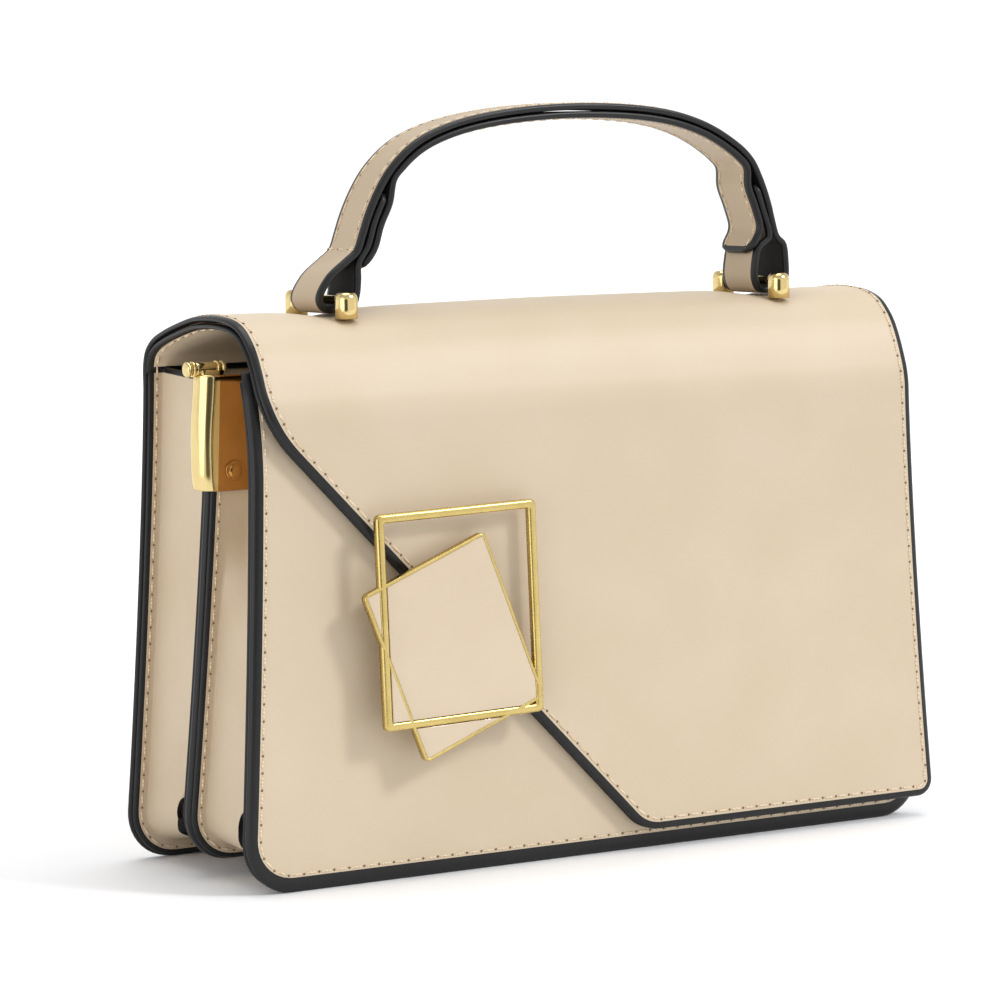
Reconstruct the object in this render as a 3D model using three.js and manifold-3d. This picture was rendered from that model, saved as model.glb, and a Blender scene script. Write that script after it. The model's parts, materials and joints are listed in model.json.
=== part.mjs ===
// A structured leather handbag with two compartments, a slanted flap, a looped top handle,
// a clasp of two crossed frames and a metal clip with a strap bar on each side.
// Millimetres, +Z up, +X to the right seen from the front, +Y towards the back.
// The bag is drawn round the plane of its handle and then centred on its own depth.
import * as THREE from 'three';
import { mergeVertices } from 'three/addons/utils/BufferGeometryUtils.js';
import Module from 'manifold-3d';

const wasm = await Module();
wasm.setup();

// Overall sizes of the bag
const bagHeight = 150.6;
const frontReach = 25.5;
const backReach = 46.4;
const backLean = 0.06;
const panelHalfWidth = 104.2;
const panelFlare = 5.6;
const flareHeight = 130;
const flareCurve = 1.5;
const panelCornerRadius = 14;

// Leather thicknesses and the clearance between neighbours
const clearance = 0.3;
const panelLeather = 3.0;
const dividerLeather = 2.8;
const outerLeather = 1.8;
const liningLeather = 1.6;
const gussetLeather = 1.4;
const edgeBevel = 0.7;

// Front panel and divider
const frontPanelDrop = 14;
const frontPanelHeight = bagHeight - frontPanelDrop;
const frontLeanDrop = 40.6;
const frontLeanDepth = 4.8;
const frontLeanCurve = 1.5;
const dividerSeat = 11.9;
const dividerLean = 0.095;
const dividerLift = 4;

// Gussets: walls set in from the panels, with a turned flange along each panel
const gussetInset = 4.8;
const flangeWidth = 4.3;
const rearGussetDrop = 15.1;
const frontGussetDrop = 16.6;
const rearGussetTopBack = bagHeight - rearGussetDrop;
const frontGussetTopFront = bagHeight - frontGussetDrop;
const creaseDepth = 0.9;
const tuckedFoldDepth = 8.5;
const foldFadeHeight = 32;
const foldBelowClip = 9;
const foldGap = 0.1;
const foldLean = 0.9;
const notchWidth = 9;
const rearNotchHeight = 20;
const frontNotchHeight = 21;

// Flap: left edge upright, then a long slant to the bottom
const flapHalfWidth = 103.3;
const flapFlare = 7.6;
const flapBottom = 5.6;
const slantStartDrop = 27.1;
const slantStartHeight = bagHeight - slantStartDrop;
const slantRun = 0.9745;
const slantCornerRadius = 12;
const flapCornerRadius = 5;
const slantBlend = 9;
const liningEndDrop = 14.3;
const crownStartDrop = 26.6;
const liningEndHeight = bagHeight - liningEndDrop;
const crownStartHeight = bagHeight - crownStartDrop;

// Handle straps, their end loops and the metal mounts
const strapWidth = 16;
const strapLeather = 1.9;
const handleSpan = 69.5;
const handleRise = 54.5;
const handleSway = 6;
const barRadius = 1.2;
const barRise = 3;
const barHeight = bagHeight + barRise;
const lugSide = 5;
const lugReach = 13.75;
const lugRise = 5.3;
const lugTop = bagHeight + lugRise;
const lugRounding = 1.4;
const lugDip = 1.6;
const lugDipSpread = 9;
const crownSwell = 0.8;
const returnEndRise = 30;
const returnEndStep = 4;
const archSteps = 44;
const strapSteps = 116;
const handleLiningSteps = 70;
const loopHalfWidth = 5.4;
const neckRise = 12;

// Clasp: an upright open frame and a turned plate with a raised border
const claspX = -48.4;
const claspHeight = 70.4;
const frameWidth = 48.9;
const frameHeight = 57.3;
const frameTurn = 1.5;
const frameBar = 2.4;
const frameDepth = 2.2;
const frameCornerRadius = 1.6;
const frameInnerRadius = 0.6;
const frameBevel = 0.5;
const plateBevel = 0.3;
const claspCornerSteps = 3;
const plateShiftX = -2.1;
const plateShiftZ = -8.4;
const plateWidth = 39.8;
const plateHeight = 49.0;
const plateTurn = 21.5;
const plateBorder = 0.9;
const plateRecess = 0.9;
const enamelGap = 0.15;
const claspStandoff = 3.0;
const postRadius = 5;
const postPlateX = 12;
const postPlateZ = 4;
const catchPlateX = -9;
const catchPlateZ = -6;

// Side clips: a bent strip over the divider's edge, a strap bar on top and a rivet
const clipHeight = 30;
const clipDrop = 16;
const clipTop = bagHeight - clipDrop;
const clipMetal = 0.9;
const clipRoom = 3.5;
const clipEdgeGap = 0.4;
const clipLegLength = 11.3;
const clipLipLength = 2;
const capThickness = 1.2;
const capInner = 2.4;
const capOuter = 6.1;
const earThickness = 1.0;
const earRadius = 2.2;
const earRise = 2.4;
const sideBarRadius = 1.3;
const knobRadius = 2.3;
const knobLength = 2.2;
const rivetHeadRadius = 2.8;
const rivetHeadHeight = 1.0;
const rivetShankRadius = 1.2;
const rivetFromTop = 24.5;
const rivetFromEdge = 5.6;

// The front and back faces that the pieces are set against
const flapInnerFace = -frontReach - clearance;
const flapFront = flapInnerFace - liningLeather - clearance - outerLeather;
const claspBack = flapFront - claspStandoff;
const claspFront = claspBack - frameDepth;
const backFaceAt = (z) => backReach - backLean * z;
const dividerAt = (z) => dividerSeat - dividerLean * z;
const dividerTop = clipTop - capThickness - clearance;
const radians = THREE.MathUtils.degToRad;
const lerp = THREE.MathUtils.lerp;

// Colours and finishes
const leather = (color) => new THREE.MeshStandardMaterial({ color, roughness: 0.55, metalness: 0 });
const metal = () => new THREE.MeshStandardMaterial({ color: 0xd9bd7a, roughness: 0.22, metalness: 1 });
const enamel = () => new THREE.MeshStandardMaterial({ color: 0xe9dac2, roughness: 0.15, metalness: 0 });
const beige = 0xe0cfb5;
const shadedBeige = 0xcbb69b;
const paleLining = 0xd6c2a6;

// Turns faces with shared corners into a plain geometry
function geometryOf(points, faces) {
  const geometry = new THREE.BufferGeometry();
  const places = points.flatMap((p) => [p.x, p.y, p.z]);
  geometry.setAttribute('position', new THREE.Float32BufferAttribute(places, 3));
  geometry.setIndex(faces.flat());
  return outwards(geometry);
}

// Flips a closed geometry whose faces point inwards
function outwards(geometry) {
  const index = geometry.getIndex().array;
  const place = geometry.getAttribute('position');
  const corner = (i) => new THREE.Vector3().fromBufferAttribute(place, index[i]);
  let volume = 0;
  for (let i = 0; i < index.length; i += 3) {
    volume += corner(i).dot(corner(i + 1).cross(corner(i + 2)));
  }
  if (volume < 0) {
    for (let i = 0; i < index.length; i += 3) {
      [index[i + 1], index[i + 2]] = [index[i + 2], index[i + 1]];
    }
  }
  return geometry;
}

// Closes a row of equal rings with a flat cap at each end
function loft(rings) {
  const size = rings[0].length;
  const faces = [];
  for (let r = 0; r + 1 < rings.length; r++) {
    for (let i = 0; i < size; i++) {
      const a = r * size + i;
      const b = r * size + (i + 1) % size;
      faces.push([a, b, b + size], [a, b + size, a + size]);
    }
  }
  const cap = (ring, start, turned) => {
    const flat = flatten(ring);
    for (const [a, b, c] of THREE.ShapeUtils.triangulateShape(flat, [])) {
      faces.push(turned ? [start + c, start + b, start + a] : [start + a, start + b, start + c]);
    }
  };
  const first = flatten(rings[0]);
  const capTurned = THREE.ShapeUtils.isClockWise(first);
  cap(rings[0], 0, !capTurned);
  cap(rings[rings.length - 1], (rings.length - 1) * size, capTurned);
  return geometryOf(rings.flat(), faces);
}

// The ring of a loft seen along the direction in which it is least deep
function flatten(ring) {
  const across = ring[Math.floor(ring.length / 2)].clone().sub(ring[0]).normalize();
  const normal = new THREE.Vector3();
  for (let i = 0; i < ring.length; i++) {
    normal.add(ring[i].clone().cross(ring[(i + 1) % ring.length]));
  }
  normal.normalize();
  const up = normal.clone().cross(across).normalize();
  return ring.map((p) => new THREE.Vector2(p.dot(across), p.dot(up)));
}

// A leather sheet: a grid of middle points with normals, a thickness and a rounded rim
function sheet(grid, thickness) {
  const rows = grid.length;
  const columns = grid[0].length;
  const rim = Math.min(edgeBevel, thickness * 0.45);
  const inwardsFrom = (cell, neighbour) => neighbour.point.clone().sub(cell.point).setLength(rim);
  const points = [];
  const faces = [];
  const skin = (side) => {
    const start = points.length;
    grid.forEach((row, i) => row.forEach((cell, j) => {
      const point = cell.point.clone().addScaledVector(cell.normal, side * thickness / 2);
      if (i === 0) point.add(inwardsFrom(cell, grid[1][j]));
      if (i === rows - 1) point.add(inwardsFrom(cell, grid[rows - 2][j]));
      if (j === 0) point.add(inwardsFrom(cell, row[1]));
      if (j === columns - 1) point.add(inwardsFrom(cell, row[columns - 2]));
      points.push(point);
    }));
    for (let i = 0; i + 1 < rows; i++) {
      for (let j = 0; j + 1 < columns; j++) {
        const a = start + i * columns + j;
        const quad = [a, a + 1, a + columns + 1, a + columns];
        const turned = side > 0 ? quad : quad.reverse();
        faces.push([turned[0], turned[1], turned[2]], [turned[0], turned[2], turned[3]]);
      }
    }
    return start;
  };
  const outer = skin(1);
  const inner = skin(-1);
  const border = [];
  for (let j = 0; j < columns - 1; j++) border.push([0, j]);
  for (let i = 0; i < rows - 1; i++) border.push([i, columns - 1]);
  for (let j = columns - 1; j > 0; j--) border.push([rows - 1, j]);
  for (let i = rows - 1; i > 0; i--) border.push([i, 0]);
  const middle = points.length;
  border.forEach(([i, j]) => points.push(grid[i][j].point.clone()));
  border.forEach(([i, j], k) => {
    const next = (k + 1) % border.length;
    const [ni, nj] = border[next];
    const a = i * columns + j;
    const b = ni * columns + nj;
    faces.push([outer + b, outer + a, middle + k], [outer + b, middle + k, middle + next]);
    faces.push([middle + next, middle + k, inner + a], [middle + next, inner + a, inner + b]);
  });
  return geometryOf(points, faces);
}

// Gives a closed geometry to the solid modeller and takes the result back
function solid(geometry) {
  const bare = geometry.clone();
  bare.deleteAttribute('normal');
  bare.deleteAttribute('uv');
  const merged = mergeVertices(bare, 1e-4);
  return new wasm.Manifold(new wasm.Mesh({
    numProp: 3,
    vertProperties: new Float32Array(merged.getAttribute('position').array),
    triVerts: new Uint32Array(merged.getIndex().array),
  }));
}

function fromSolid(body) {
  const mesh = body.getMesh();
  const geometry = new THREE.BufferGeometry();
  geometry.setAttribute('position', new THREE.Float32BufferAttribute(mesh.vertProperties, 3));
  geometry.setIndex(Array.from(mesh.triVerts));
  return geometry;
}

// A plate in the XZ plane with bevelled rims, from its front face to its back face
function plate(shape, front, back, bevel, curveSegments = 6) {
  const depth = back - front;
  const geometry = new THREE.ExtrudeGeometry(shape, {
    depth: depth - 2 * bevel,
    bevelEnabled: bevel > 0,
    bevelThickness: bevel,
    bevelSize: bevel,
    bevelOffset: -bevel,
    bevelSegments: 1,
    curveSegments,
  });
  geometry.rotateX(Math.PI / 2);
  geometry.translate(0, back - bevel, 0);
  return geometry;
}

function rounded(width, height, radius) {
  const shape = new THREE.Shape();
  const w = width / 2;
  const h = height / 2;
  shape.moveTo(-w + radius, -h);
  shape.lineTo(w - radius, -h);
  shape.absarc(w - radius, -h + radius, radius, -Math.PI / 2, 0);
  shape.lineTo(w, h - radius);
  shape.absarc(w - radius, h - radius, radius, 0, Math.PI / 2);
  shape.lineTo(-w + radius, h);
  shape.absarc(-w + radius, h - radius, radius, Math.PI / 2, Math.PI);
  shape.lineTo(-w, -h + radius);
  shape.absarc(-w + radius, -h + radius, radius, Math.PI, 1.5 * Math.PI);
  return shape;
}

// Half the width of a panel or of the flap at a height
const flareAt = (z) => Math.max(0, 1 - z / flareHeight) ** flareCurve;
const panelHalf = (z) => panelHalfWidth + panelFlare * flareAt(z);
const flapHalf = (z) => flapHalfWidth + flapFlare * flareAt(z);
const cornerCut = (above, radius) => {
  const drop = radius - Math.min(above, radius);
  return radius - Math.sqrt(Math.max(0, radius * radius - drop * drop));
};

// Outline of an upright panel: flared sides and two round bottom corners
function panelOutline(bottom, top) {
  const cornerSteps = 6;
  const sideSteps = 5;
  const right = [];
  for (let i = 0; i <= cornerSteps; i++) {
    const z = panelCornerRadius * (1 - Math.cos(i / cornerSteps * Math.PI / 2));
    right.push([panelHalf(bottom + z) - cornerCut(z, panelCornerRadius), bottom + z]);
  }
  for (let i = 1; i <= sideSteps; i++) {
    const z = lerp(bottom + panelCornerRadius, top, i / sideSteps);
    right.push([panelHalf(z), z]);
  }
  const shape = new THREE.Shape();
  shape.moveTo(...right[0]);
  right.slice(1).forEach(([x, z]) => shape.lineTo(x, z));
  right.reverse().forEach(([x, z]) => shape.lineTo(-x, z));
  return shape;
}

// The front panel leans back at the top, where the flap bends over it
function frontFaceAt(z) {
  const leanStart = bagHeight - frontLeanDrop;
  const share = Math.max(0, z - leanStart) / (frontPanelHeight - leanStart);
  return -frontReach + frontLeanDepth * share ** frontLeanCurve;
}

function frontPanel() {
  const cornerShares = [0.05, 0.14, 0.29, 0.5, 0.74, 1];
  const sideShares = [0.27, 0.53, 0.78, 0.83, 0.88, 0.925, 0.965];
  const topEdge = frontPanelHeight - edgeBevel;
  const heights = cornerShares.map((share) => share * panelCornerRadius)
    .concat(sideShares.map((share) => lerp(panelCornerRadius, frontPanelHeight, share)), topEdge);
  const ring = (z, inset, chamfer) => {
    const half = panelHalf(z) - cornerCut(z, panelCornerRadius) - inset;
    const front = frontFaceAt(z) + inset;
    const back = frontFaceAt(z) + panelLeather - inset;
    const right = [
      [half - chamfer, front],
      [half, front + chamfer],
      [half, back - chamfer],
      [half - chamfer, back],
    ];
    const left = right.map(([x, y]) => [-x, y]).reverse();
    return right.concat(left).map(([x, y]) => new THREE.Vector3(x, y, z));
  };
  const endChamfer = 0.4 * edgeBevel;
  return loft([
    ring(0, edgeBevel, endChamfer),
    ...heights.map((z) => ring(z, 0, edgeBevel)),
    ring(frontPanelHeight, edgeBevel, endChamfer),
  ]);
}

// The divider leans forward with the clips that ride on its edges
const dividerTilt = Math.atan(dividerLean);
function divider() {
  const half = dividerLeather / 2;
  const geometry = plate(panelOutline(dividerLift, dividerTop), -half, half, edgeBevel);
  geometry.applyMatrix4(new THREE.Matrix4().makeShear(0, 0, 0, 0, 0, -dividerLean));
  geometry.translate(0, dividerSeat, 0);
  return geometry;
}

// Rows of the flap's outer profile over the top, as shares of its depth and height
const crownRows = [
  { depth: 1.0, height: 0.8632 },
  { depth: 0.9956, height: 0.9064 },
  { depth: 0.9706, height: 0.9336 },
  { depth: 0.9148, height: 0.9535 },
  { depth: 0.8297, height: 0.9688 },
  { depth: 0.7122, height: 0.9834 },
  { depth: 0.5800, height: 0.9960 },
  { depth: 0.4993, height: 0.9993 },
  { depth: 0.3862, height: 1.0 },
  { depth: 0.2614, height: 0.9934 },
  { depth: 0.1850, height: 0.9801 },
  { depth: 0.1307, height: 0.9595 },
  { depth: 0.0954, height: 0.9402 },
  { depth: 0.0600, height: 0.9110 },
  { depth: 0.0280, height: 0.8760 },
  { depth: 0.0090, height: 0.8500 },
];
const crownBackZ = crownRows[0].height * bagHeight;
const crownDepth = backFaceAt(crownBackZ) - flapFront;
const crownPoint = ({ depth, height }) => ({ y: flapFront + depth * crownDepth, z: height * bagHeight });

// Heights of the rows on the straight stretches of the back and the front
const backFoot = outerLeather / 2 * backLean;
const backHeights = [0, 0.05, 0.15, 0.35, 0.65, 1]
  .map((share) => backFoot + share * panelCornerRadius)
  .concat([0.3, 0.55, 0.8].map((share) => share * bagHeight));
const frontShares = [1, 0.985, 0.96, 0.92, 0.7, 0.45, 0.22, 0.1, 0.065, 0.04, 0.02, 0.008, 0];
const frontHeights = frontShares.map((share) => lerp(flapBottom, crownStartHeight, share));

// Left edge of the flap: upright, then slanted, then round into the bottom edge
function flapLeft(z) {
  const upright = -flapHalf(z);
  const slant = -flapHalfWidth + (slantStartHeight - z) * slantRun;
  const blend = Math.max(0, 1 - Math.abs(upright - slant) / slantBlend);
  const edge = Math.max(upright, slant) + slantBlend * blend * blend / 4;
  const angle = Math.atan(1 / slantRun);
  const above = z - flapBottom;
  if (above >= slantCornerRadius * (1 - Math.cos(angle))) return edge;
  const sharp = -flapHalfWidth + (slantStartHeight - flapBottom) * slantRun;
  const centre = sharp + slantCornerRadius * Math.tan(angle / 2);
  return centre - slantCornerRadius + cornerCut(above, slantCornerRadius);
}

const flapRight = (z) => flapHalf(z) - cornerCut(z - flapBottom, flapCornerRadius);

// Every row of the profile, with the width of the leather there
function profileRows() {
  const rows = [];
  for (const z of backHeights) {
    const half = panelHalf(z) - cornerCut(z, panelCornerRadius);
    rows.push({ y: backFaceAt(z), z, left: -half, right: half });
  }
  for (const row of crownRows) {
    const { y, z } = crownPoint(row);
    const half = lerp(flapHalf(z), panelHalf(z), row.depth);
    const pulled = row.depth < 0.5 ? flapLeft(z) + flapHalf(z) : 0;
    rows.push({ y, z, left: pulled - half, right: half, crown: row.depth });
  }
  for (const z of frontHeights) {
    rows.push({ y: flapFront, z, left: flapLeft(z), right: flapRight(z) });
  }
  return rows;
}

// Places across the width, as shares of half of it, closest together at the handle's mounts
const mountShare = handleSpan / panelHalfWidth;
const dipShare = 1.3 * lugDipSpread / panelHalfWidth;
const halfShares = [0.3, mountShare - dipShare, mountShare, mountShare + dipShare, 0.92, 1];
const columnShares = [...halfShares.map((share) => -share).reverse(), 0, ...halfShares];

// How far the top is pressed in beside the handle mounts, or swells between them
function topSag(share, depth) {
  const across = Math.max(0, Math.sin(Math.PI * depth));
  const away = (Math.abs(share) - mountShare) * panelHalfWidth / lugDipSpread;
  const swell = Math.max(0, 1 - Math.abs(share) / mountShare);
  return across * (lugDip * Math.exp(-(away ** 2)) - crownSwell * Math.sqrt(swell));
}

// A layer of leather that follows the profile at a depth under its outer face
function flapLayer(under, thickness, keep) {
  const rows = profileRows();
  const grid = [];
  rows.forEach((row, i) => {
    if (!keep(row, i, rows)) return;
    const before = rows[Math.max(0, i - 1)];
    const after = rows[Math.min(rows.length - 1, i + 1)];
    const along = new THREE.Vector3(0, after.y - before.y, after.z - before.z).normalize();
    const normal = new THREE.Vector3(0, along.z, -along.y);
    const inset = under + thickness / 2;
    grid.push(columnShares.map((share) => {
      const x = lerp(row.left, row.right, (share + 1) / 2);
      const sag = row.crown === undefined ? 0 : topSag(share, row.crown);
      const point = new THREE.Vector3(x, row.y, row.z - sag).addScaledVector(normal, -inset);
      return { point, normal };
    }));
  });
  return sheet(grid, thickness);
}

const backAndFlap = () => flapLayer(0, outerLeather, () => true);
const flapLining = () => flapLayer(outerLeather + clearance, liningLeather,
  (row, i, rows) => row.z > liningEndHeight || i > rows.length - frontHeights.length - 4);

// Height of the flap's outer face over a place on the top
function crownHeightAt(x, y) {
  const depth = (y - flapFront) / crownDepth;
  const column = columnShares.findIndex((share) => share * panelHalfWidth > x);
  const near = columnShares[column - 1];
  const far = columnShares[column];
  const across = (x / panelHalfWidth - near) / (far - near);
  const height = (row) => row.height * bagHeight
    - lerp(topSag(near, row.depth), topSag(far, row.depth), across);
  const next = crownRows.findIndex((row) => row.depth < depth);
  const a = crownRows[next - 1];
  const b = crownRows[next];
  return lerp(height(a), height(b), (a.depth - depth) / (a.depth - b.depth));
}

// Path of a gusset wall round the bag, from the left top down and up to the right top
function gussetPath(lift, top) {
  const radius = panelCornerRadius - gussetInset;
  const floor = lift + gussetInset;
  const sideShares = [1, 0.88, 0.76, 0.68, 0.6, 0.5, 0.36, 0.18];
  const cornerSteps = 5;
  const left = sideShares.map((share) => {
    const z = lerp(floor + radius, top, share);
    return { x: -(panelHalf(z) - gussetInset), z, out: new THREE.Vector3(-1, 0, 0) };
  });
  for (let i = 0; i <= cornerSteps; i++) {
    const angle = i / cornerSteps * Math.PI / 2;
    const z = floor + radius * (1 - Math.sin(angle));
    const x = -(panelHalf(z) - gussetInset - radius + radius * Math.cos(angle));
    left.push({ x, z, out: new THREE.Vector3(-Math.cos(angle), 0, -Math.sin(angle)) });
  }
  const mirrored = ({ x, z, out }) => ({ x: -x, z, out: new THREE.Vector3(-out.x, 0, out.z) });
  return left.concat(left.map(mirrored).reverse());
}

// A gusset: a wall between two panels with a flange on each, creased along its middle
function gusset({ backEnd, frontEnd, back, front, creaseAt }) {
  const backPath = gussetPath(backEnd.lift, backEnd.top);
  const frontPath = gussetPath(frontEnd.lift, frontEnd.top);
  const t = gussetLeather;
  const onFace = (station, outward, face, lift) => {
    const point = new THREE.Vector3(station.x, 0, station.z).addScaledVector(station.out, outward);
    point.y = face(point.z) + lift;
    return point;
  };
  const rings = backPath.map((b, i) => {
    const f = frontPath[i];
    const creaseZ = (b.z + f.z) / 2;
    const crease = creaseAt(creaseZ, back(creaseZ), front(creaseZ));
    const folded = (inward, y) => {
      const point = onFace(b, -inward, back, 0).lerp(onFace(f, -inward, front, 0), 0.5);
      point.y = y;
      return point;
    };
    return [
      onFace(b, flangeWidth, back, 0),
      onFace(b, flangeWidth, back, -t),
      onFace(b, 0, back, -t),
      folded(crease.depth, crease.y),
      onFace(f, 0, front, t),
      onFace(f, flangeWidth, front, t),
      onFace(f, flangeWidth, front, 0),
      onFace(f, -t, front, 0),
      folded(crease.depth + t, crease.y + crease.lean),
      onFace(b, -t, back, 0),
    ];
  });
  return loft(rings);
}

// Cuts the bottom corners of a gusset free of its front flange
function notched(geometry, start, lift, height) {
  const floor = lift + gussetInset;
  const far = panelHalf(0) + panelCornerRadius;
  const near = panelHalf(0) - panelCornerRadius - gussetInset;
  const radius = notchWidth / 2;
  const below = -floor;
  let body = solid(geometry);
  for (const side of [-1, 1]) {
    const shape = new THREE.Shape();
    shape.moveTo(start, below);
    shape.lineTo(start + notchWidth, below);
    shape.lineTo(start + notchWidth, height - radius);
    shape.absarc(start + radius, height - radius, radius, 0, Math.PI);
    const settings = { depth: far - near, bevelEnabled: false, curveSegments: 5 };
    const cut = new THREE.ExtrudeGeometry(shape, settings);
    cut.rotateX(Math.PI / 2);
    cut.rotateZ(Math.PI / 2);
    cut.translate(side > 0 ? near : -far, 0, 0);
    body = body.subtract(solid(cut));
  }
  return fromSolid(body);
}

function rearGusset() {
  const back = (z) => backFaceAt(z) - outerLeather - clearance;
  const front = (z) => dividerAt(z) + dividerLeather / 2 + clearance;
  const geometry = gusset({
    backEnd: { lift: 0, top: rearGussetTopBack },
    frontEnd: { lift: dividerLift, top: dividerTop },
    back,
    front,
    creaseAt: (z, yb, yf) => ({ depth: creaseDepth, y: (yb + yf) / 2, lean: 0 }),
  });
  return notched(geometry, front(0) + gussetLeather + clearance, dividerLift, rearNotchHeight);
}

// The front gusset is tucked in behind the clip: its rear half lies flat on the divider
function frontGusset() {
  const back = (z) => dividerAt(z) - dividerLeather / 2 - clearance;
  const front = (z) => frontFaceAt(z) + panelLeather + clearance;
  const foldFoot = clipTop - clipHeight - foldBelowClip;
  const geometry = gusset({
    backEnd: { lift: dividerLift, top: dividerTop },
    frontEnd: { lift: 0, top: frontGussetTopFront },
    back,
    front,
    creaseAt: (z, yb, yf) => {
      const share = THREE.MathUtils.smoothstep(z, foldFoot - foldFadeHeight, foldFoot);
      const flat = yb - gussetLeather - foldGap;
      return {
        depth: lerp(creaseDepth, tuckedFoldDepth, share),
        y: lerp((yb + yf) / 2, flat, share),
        lean: lerp(0, foldLean, share),
      };
    },
  });
  return notched(geometry, front(0) + gussetLeather + clearance, 0, frontNotchHeight);
}

// Outer face of the handle: half its span and its sway to the right, at a rise above the bag
const handleRows = [
  { rise: 0.245, half: 1.022, sway: 0.87 },
  { rise: 0.33, half: 0.978, sway: 0.96 },
  { rise: 0.42, half: 0.958, sway: 1.0 },
  { rise: 0.585, half: 0.905, sway: 1.09 },
  { rise: 0.715, half: 0.840, sway: 1.17 },
  { rise: 0.833, half: 0.722, sway: 1.1 },
  { rise: 0.914, half: 0.576, sway: 1.17 },
  { rise: 0.972, half: 0.363, sway: 1.37 },
  { rise: 1.0, half: 0.0, sway: 1.4 },
];

// Middle line of the loop round the bar, outside first: shares of its half width, of the
// height of its neck over the bar, and of the handle's sway. The row under the bar seats on it.
const loopRows = [
  { out: 0.20, up: 0.833, sway: 0.88 },
  { out: 0.78, up: 0.467, sway: 0.48 },
  { out: 1.05, up: 0.02, sway: 0.22 },
  { out: 0.80, up: -0.185, sway: 0.24 },
  { out: 0.08, up: -0.23, sway: 0.25 },
  { out: -0.67, up: -0.185, sway: 0.27 },
  { out: -0.94, up: 0.05, sway: 0.28 },
  { out: -0.98, up: 0.417, sway: 0.35 },
  { out: -0.89, up: 0.767, sway: 0.47 },
];
const tabRow = { out: -1.296, up: 0.767, sway: 0.47 };

const handleTop = bagHeight - crownSwell;
const bowPoint = (row, side) => new THREE.Vector3(
  side * row.half * handleSpan + row.sway * handleSway, 0, handleTop + row.rise * handleRise);

// The outer face of the arch from the left foot over the top to the right foot
function archLine() {
  const left = handleRows.slice(0, -1).map((row) => bowPoint(row, -1));
  const right = handleRows.slice(0, -1).map((row) => bowPoint(row, 1)).reverse();
  const points = [...left, bowPoint(handleRows.at(-1), 1), ...right];
  return new THREE.CatmullRomCurve3(points, false, 'centripetal');
}

// Points at a depth under the outer face of the arch, between two heights above the bag
function archLayer(depth, steps, lowest) {
  const line = archLine();
  const points = [];
  for (let i = 0; i <= steps; i++) {
    const place = line.getPointAt(i / steps);
    const along = line.getTangentAt(i / steps);
    const outward = new THREE.Vector3(-along.z, 0, along.x);
    const point = place.addScaledVector(outward, -depth);
    if (point.z >= lowest) points.push(point);
  }
  return points;
}

// A strap with rounded edges swept along its middle line in the XZ plane
function strap(points, steps) {
  const line = new THREE.CatmullRomCurve3(points, false, 'centripetal');
  const half = strapLeather / 2;
  const flat = strapWidth / 2 - half * 0.7;
  const section = [
    [-flat, half], [flat, half], [strapWidth / 2, 0], [flat, -half], [-flat, -half], [-strapWidth / 2, 0],
  ];
  const rings = [];
  for (let i = 0; i <= steps; i++) {
    const place = line.getPointAt(i / steps);
    const along = line.getTangentAt(i / steps);
    const outward = new THREE.Vector3(-along.z, 0, along.x);
    rings.push(section.map(([y, n]) => (
      new THREE.Vector3(place.x, y, place.z).addScaledVector(outward, n))));
  }
  return loft(rings);
}

const neckHeight = barHeight + neckRise;
const loopPoint = ({ out, up, sway }, side) => new THREE.Vector3(
  side * (handleSpan + out * loopHalfWidth) + sway * handleSway, 0, barHeight + up * neckRise);
const loopPoints = (side) => loopRows.map((row) => loopPoint(row, side));

// The outer strap: up inside one leg, round the bar, over the arch and back up the other leg
function handleStrap() {
  const first = strapLeather / 2;
  const second = first + strapLeather + clearance;
  const legTop = handleTop + returnEndRise;
  const outer = archLayer(first, archSteps, 0);
  const inner = archLayer(second, archSteps, 0);
  const inLeft = inner.filter((p) => p.x < 0 && p.z < legTop && p.z > neckHeight).reverse();
  const inRight = inner.filter((p) => p.x > 0 && p.z < legTop && p.z > neckHeight).reverse();
  const outerKept = outer.filter((p) => p.z > neckHeight);
  const left = loopPoints(-1).reverse();
  const right = loopPoints(1);
  return strap([...inLeft, ...left, ...outerKept, ...right, ...inRight], strapSteps);
}

// The lining strap under the arch, which covers the returned ends
function handleLining() {
  const second = strapLeather * 1.5 + clearance;
  const third = second + strapLeather + clearance;
  const legTop = handleTop + returnEndRise + clearance;
  const near = archLayer(second, archSteps, legTop + returnEndStep);
  const far = archLayer(third, archSteps, neckHeight).filter((p) => p.z < legTop + clearance);
  const left = [loopPoint(tabRow, -1), ...far.filter((p) => p.x < 0)];
  const right = [...far.filter((p) => p.x > 0), loopPoint(tabRow, 1)];
  return strap([...left, ...near, ...right], handleLiningSteps);
}

// Two rounded lugs and the bar between them, in one piece
function handleMount(side) {
  const shape = rounded(lugSide, 2 * lugSide, lugRounding);
  let body = null;
  for (const end of [-1, 1]) {
    const y = end * lugReach;
    const corners = [-1, 1].flatMap((i) => [-1, 1].map((j) => [i * lugSide / 2, j * lugSide / 2]));
    const heights = corners.map(([i, j]) => crownHeightAt(side * handleSpan + i, y + j));
    const foot = Math.max(...heights) + clearance;
    const lug = plate(shape, y - lugSide / 2, y + lugSide / 2, lugRounding / 2, 3);
    lug.translate(side * handleSpan, 0, lugTop - lugSide);
    const room = new THREE.BoxGeometry(3 * lugSide, 3 * lugSide, 4 * lugSide);
    room.translate(side * handleSpan, y, foot - 2 * lugSide);
    const piece = solid(lug).subtract(solid(room));
    body = body ? body.add(piece) : piece;
  }
  const bar = new THREE.CylinderGeometry(barRadius, barRadius, 2 * lugReach, 12);
  bar.translate(side * handleSpan, 0, barHeight);
  return fromSolid(body.add(solid(bar)));
}

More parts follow.
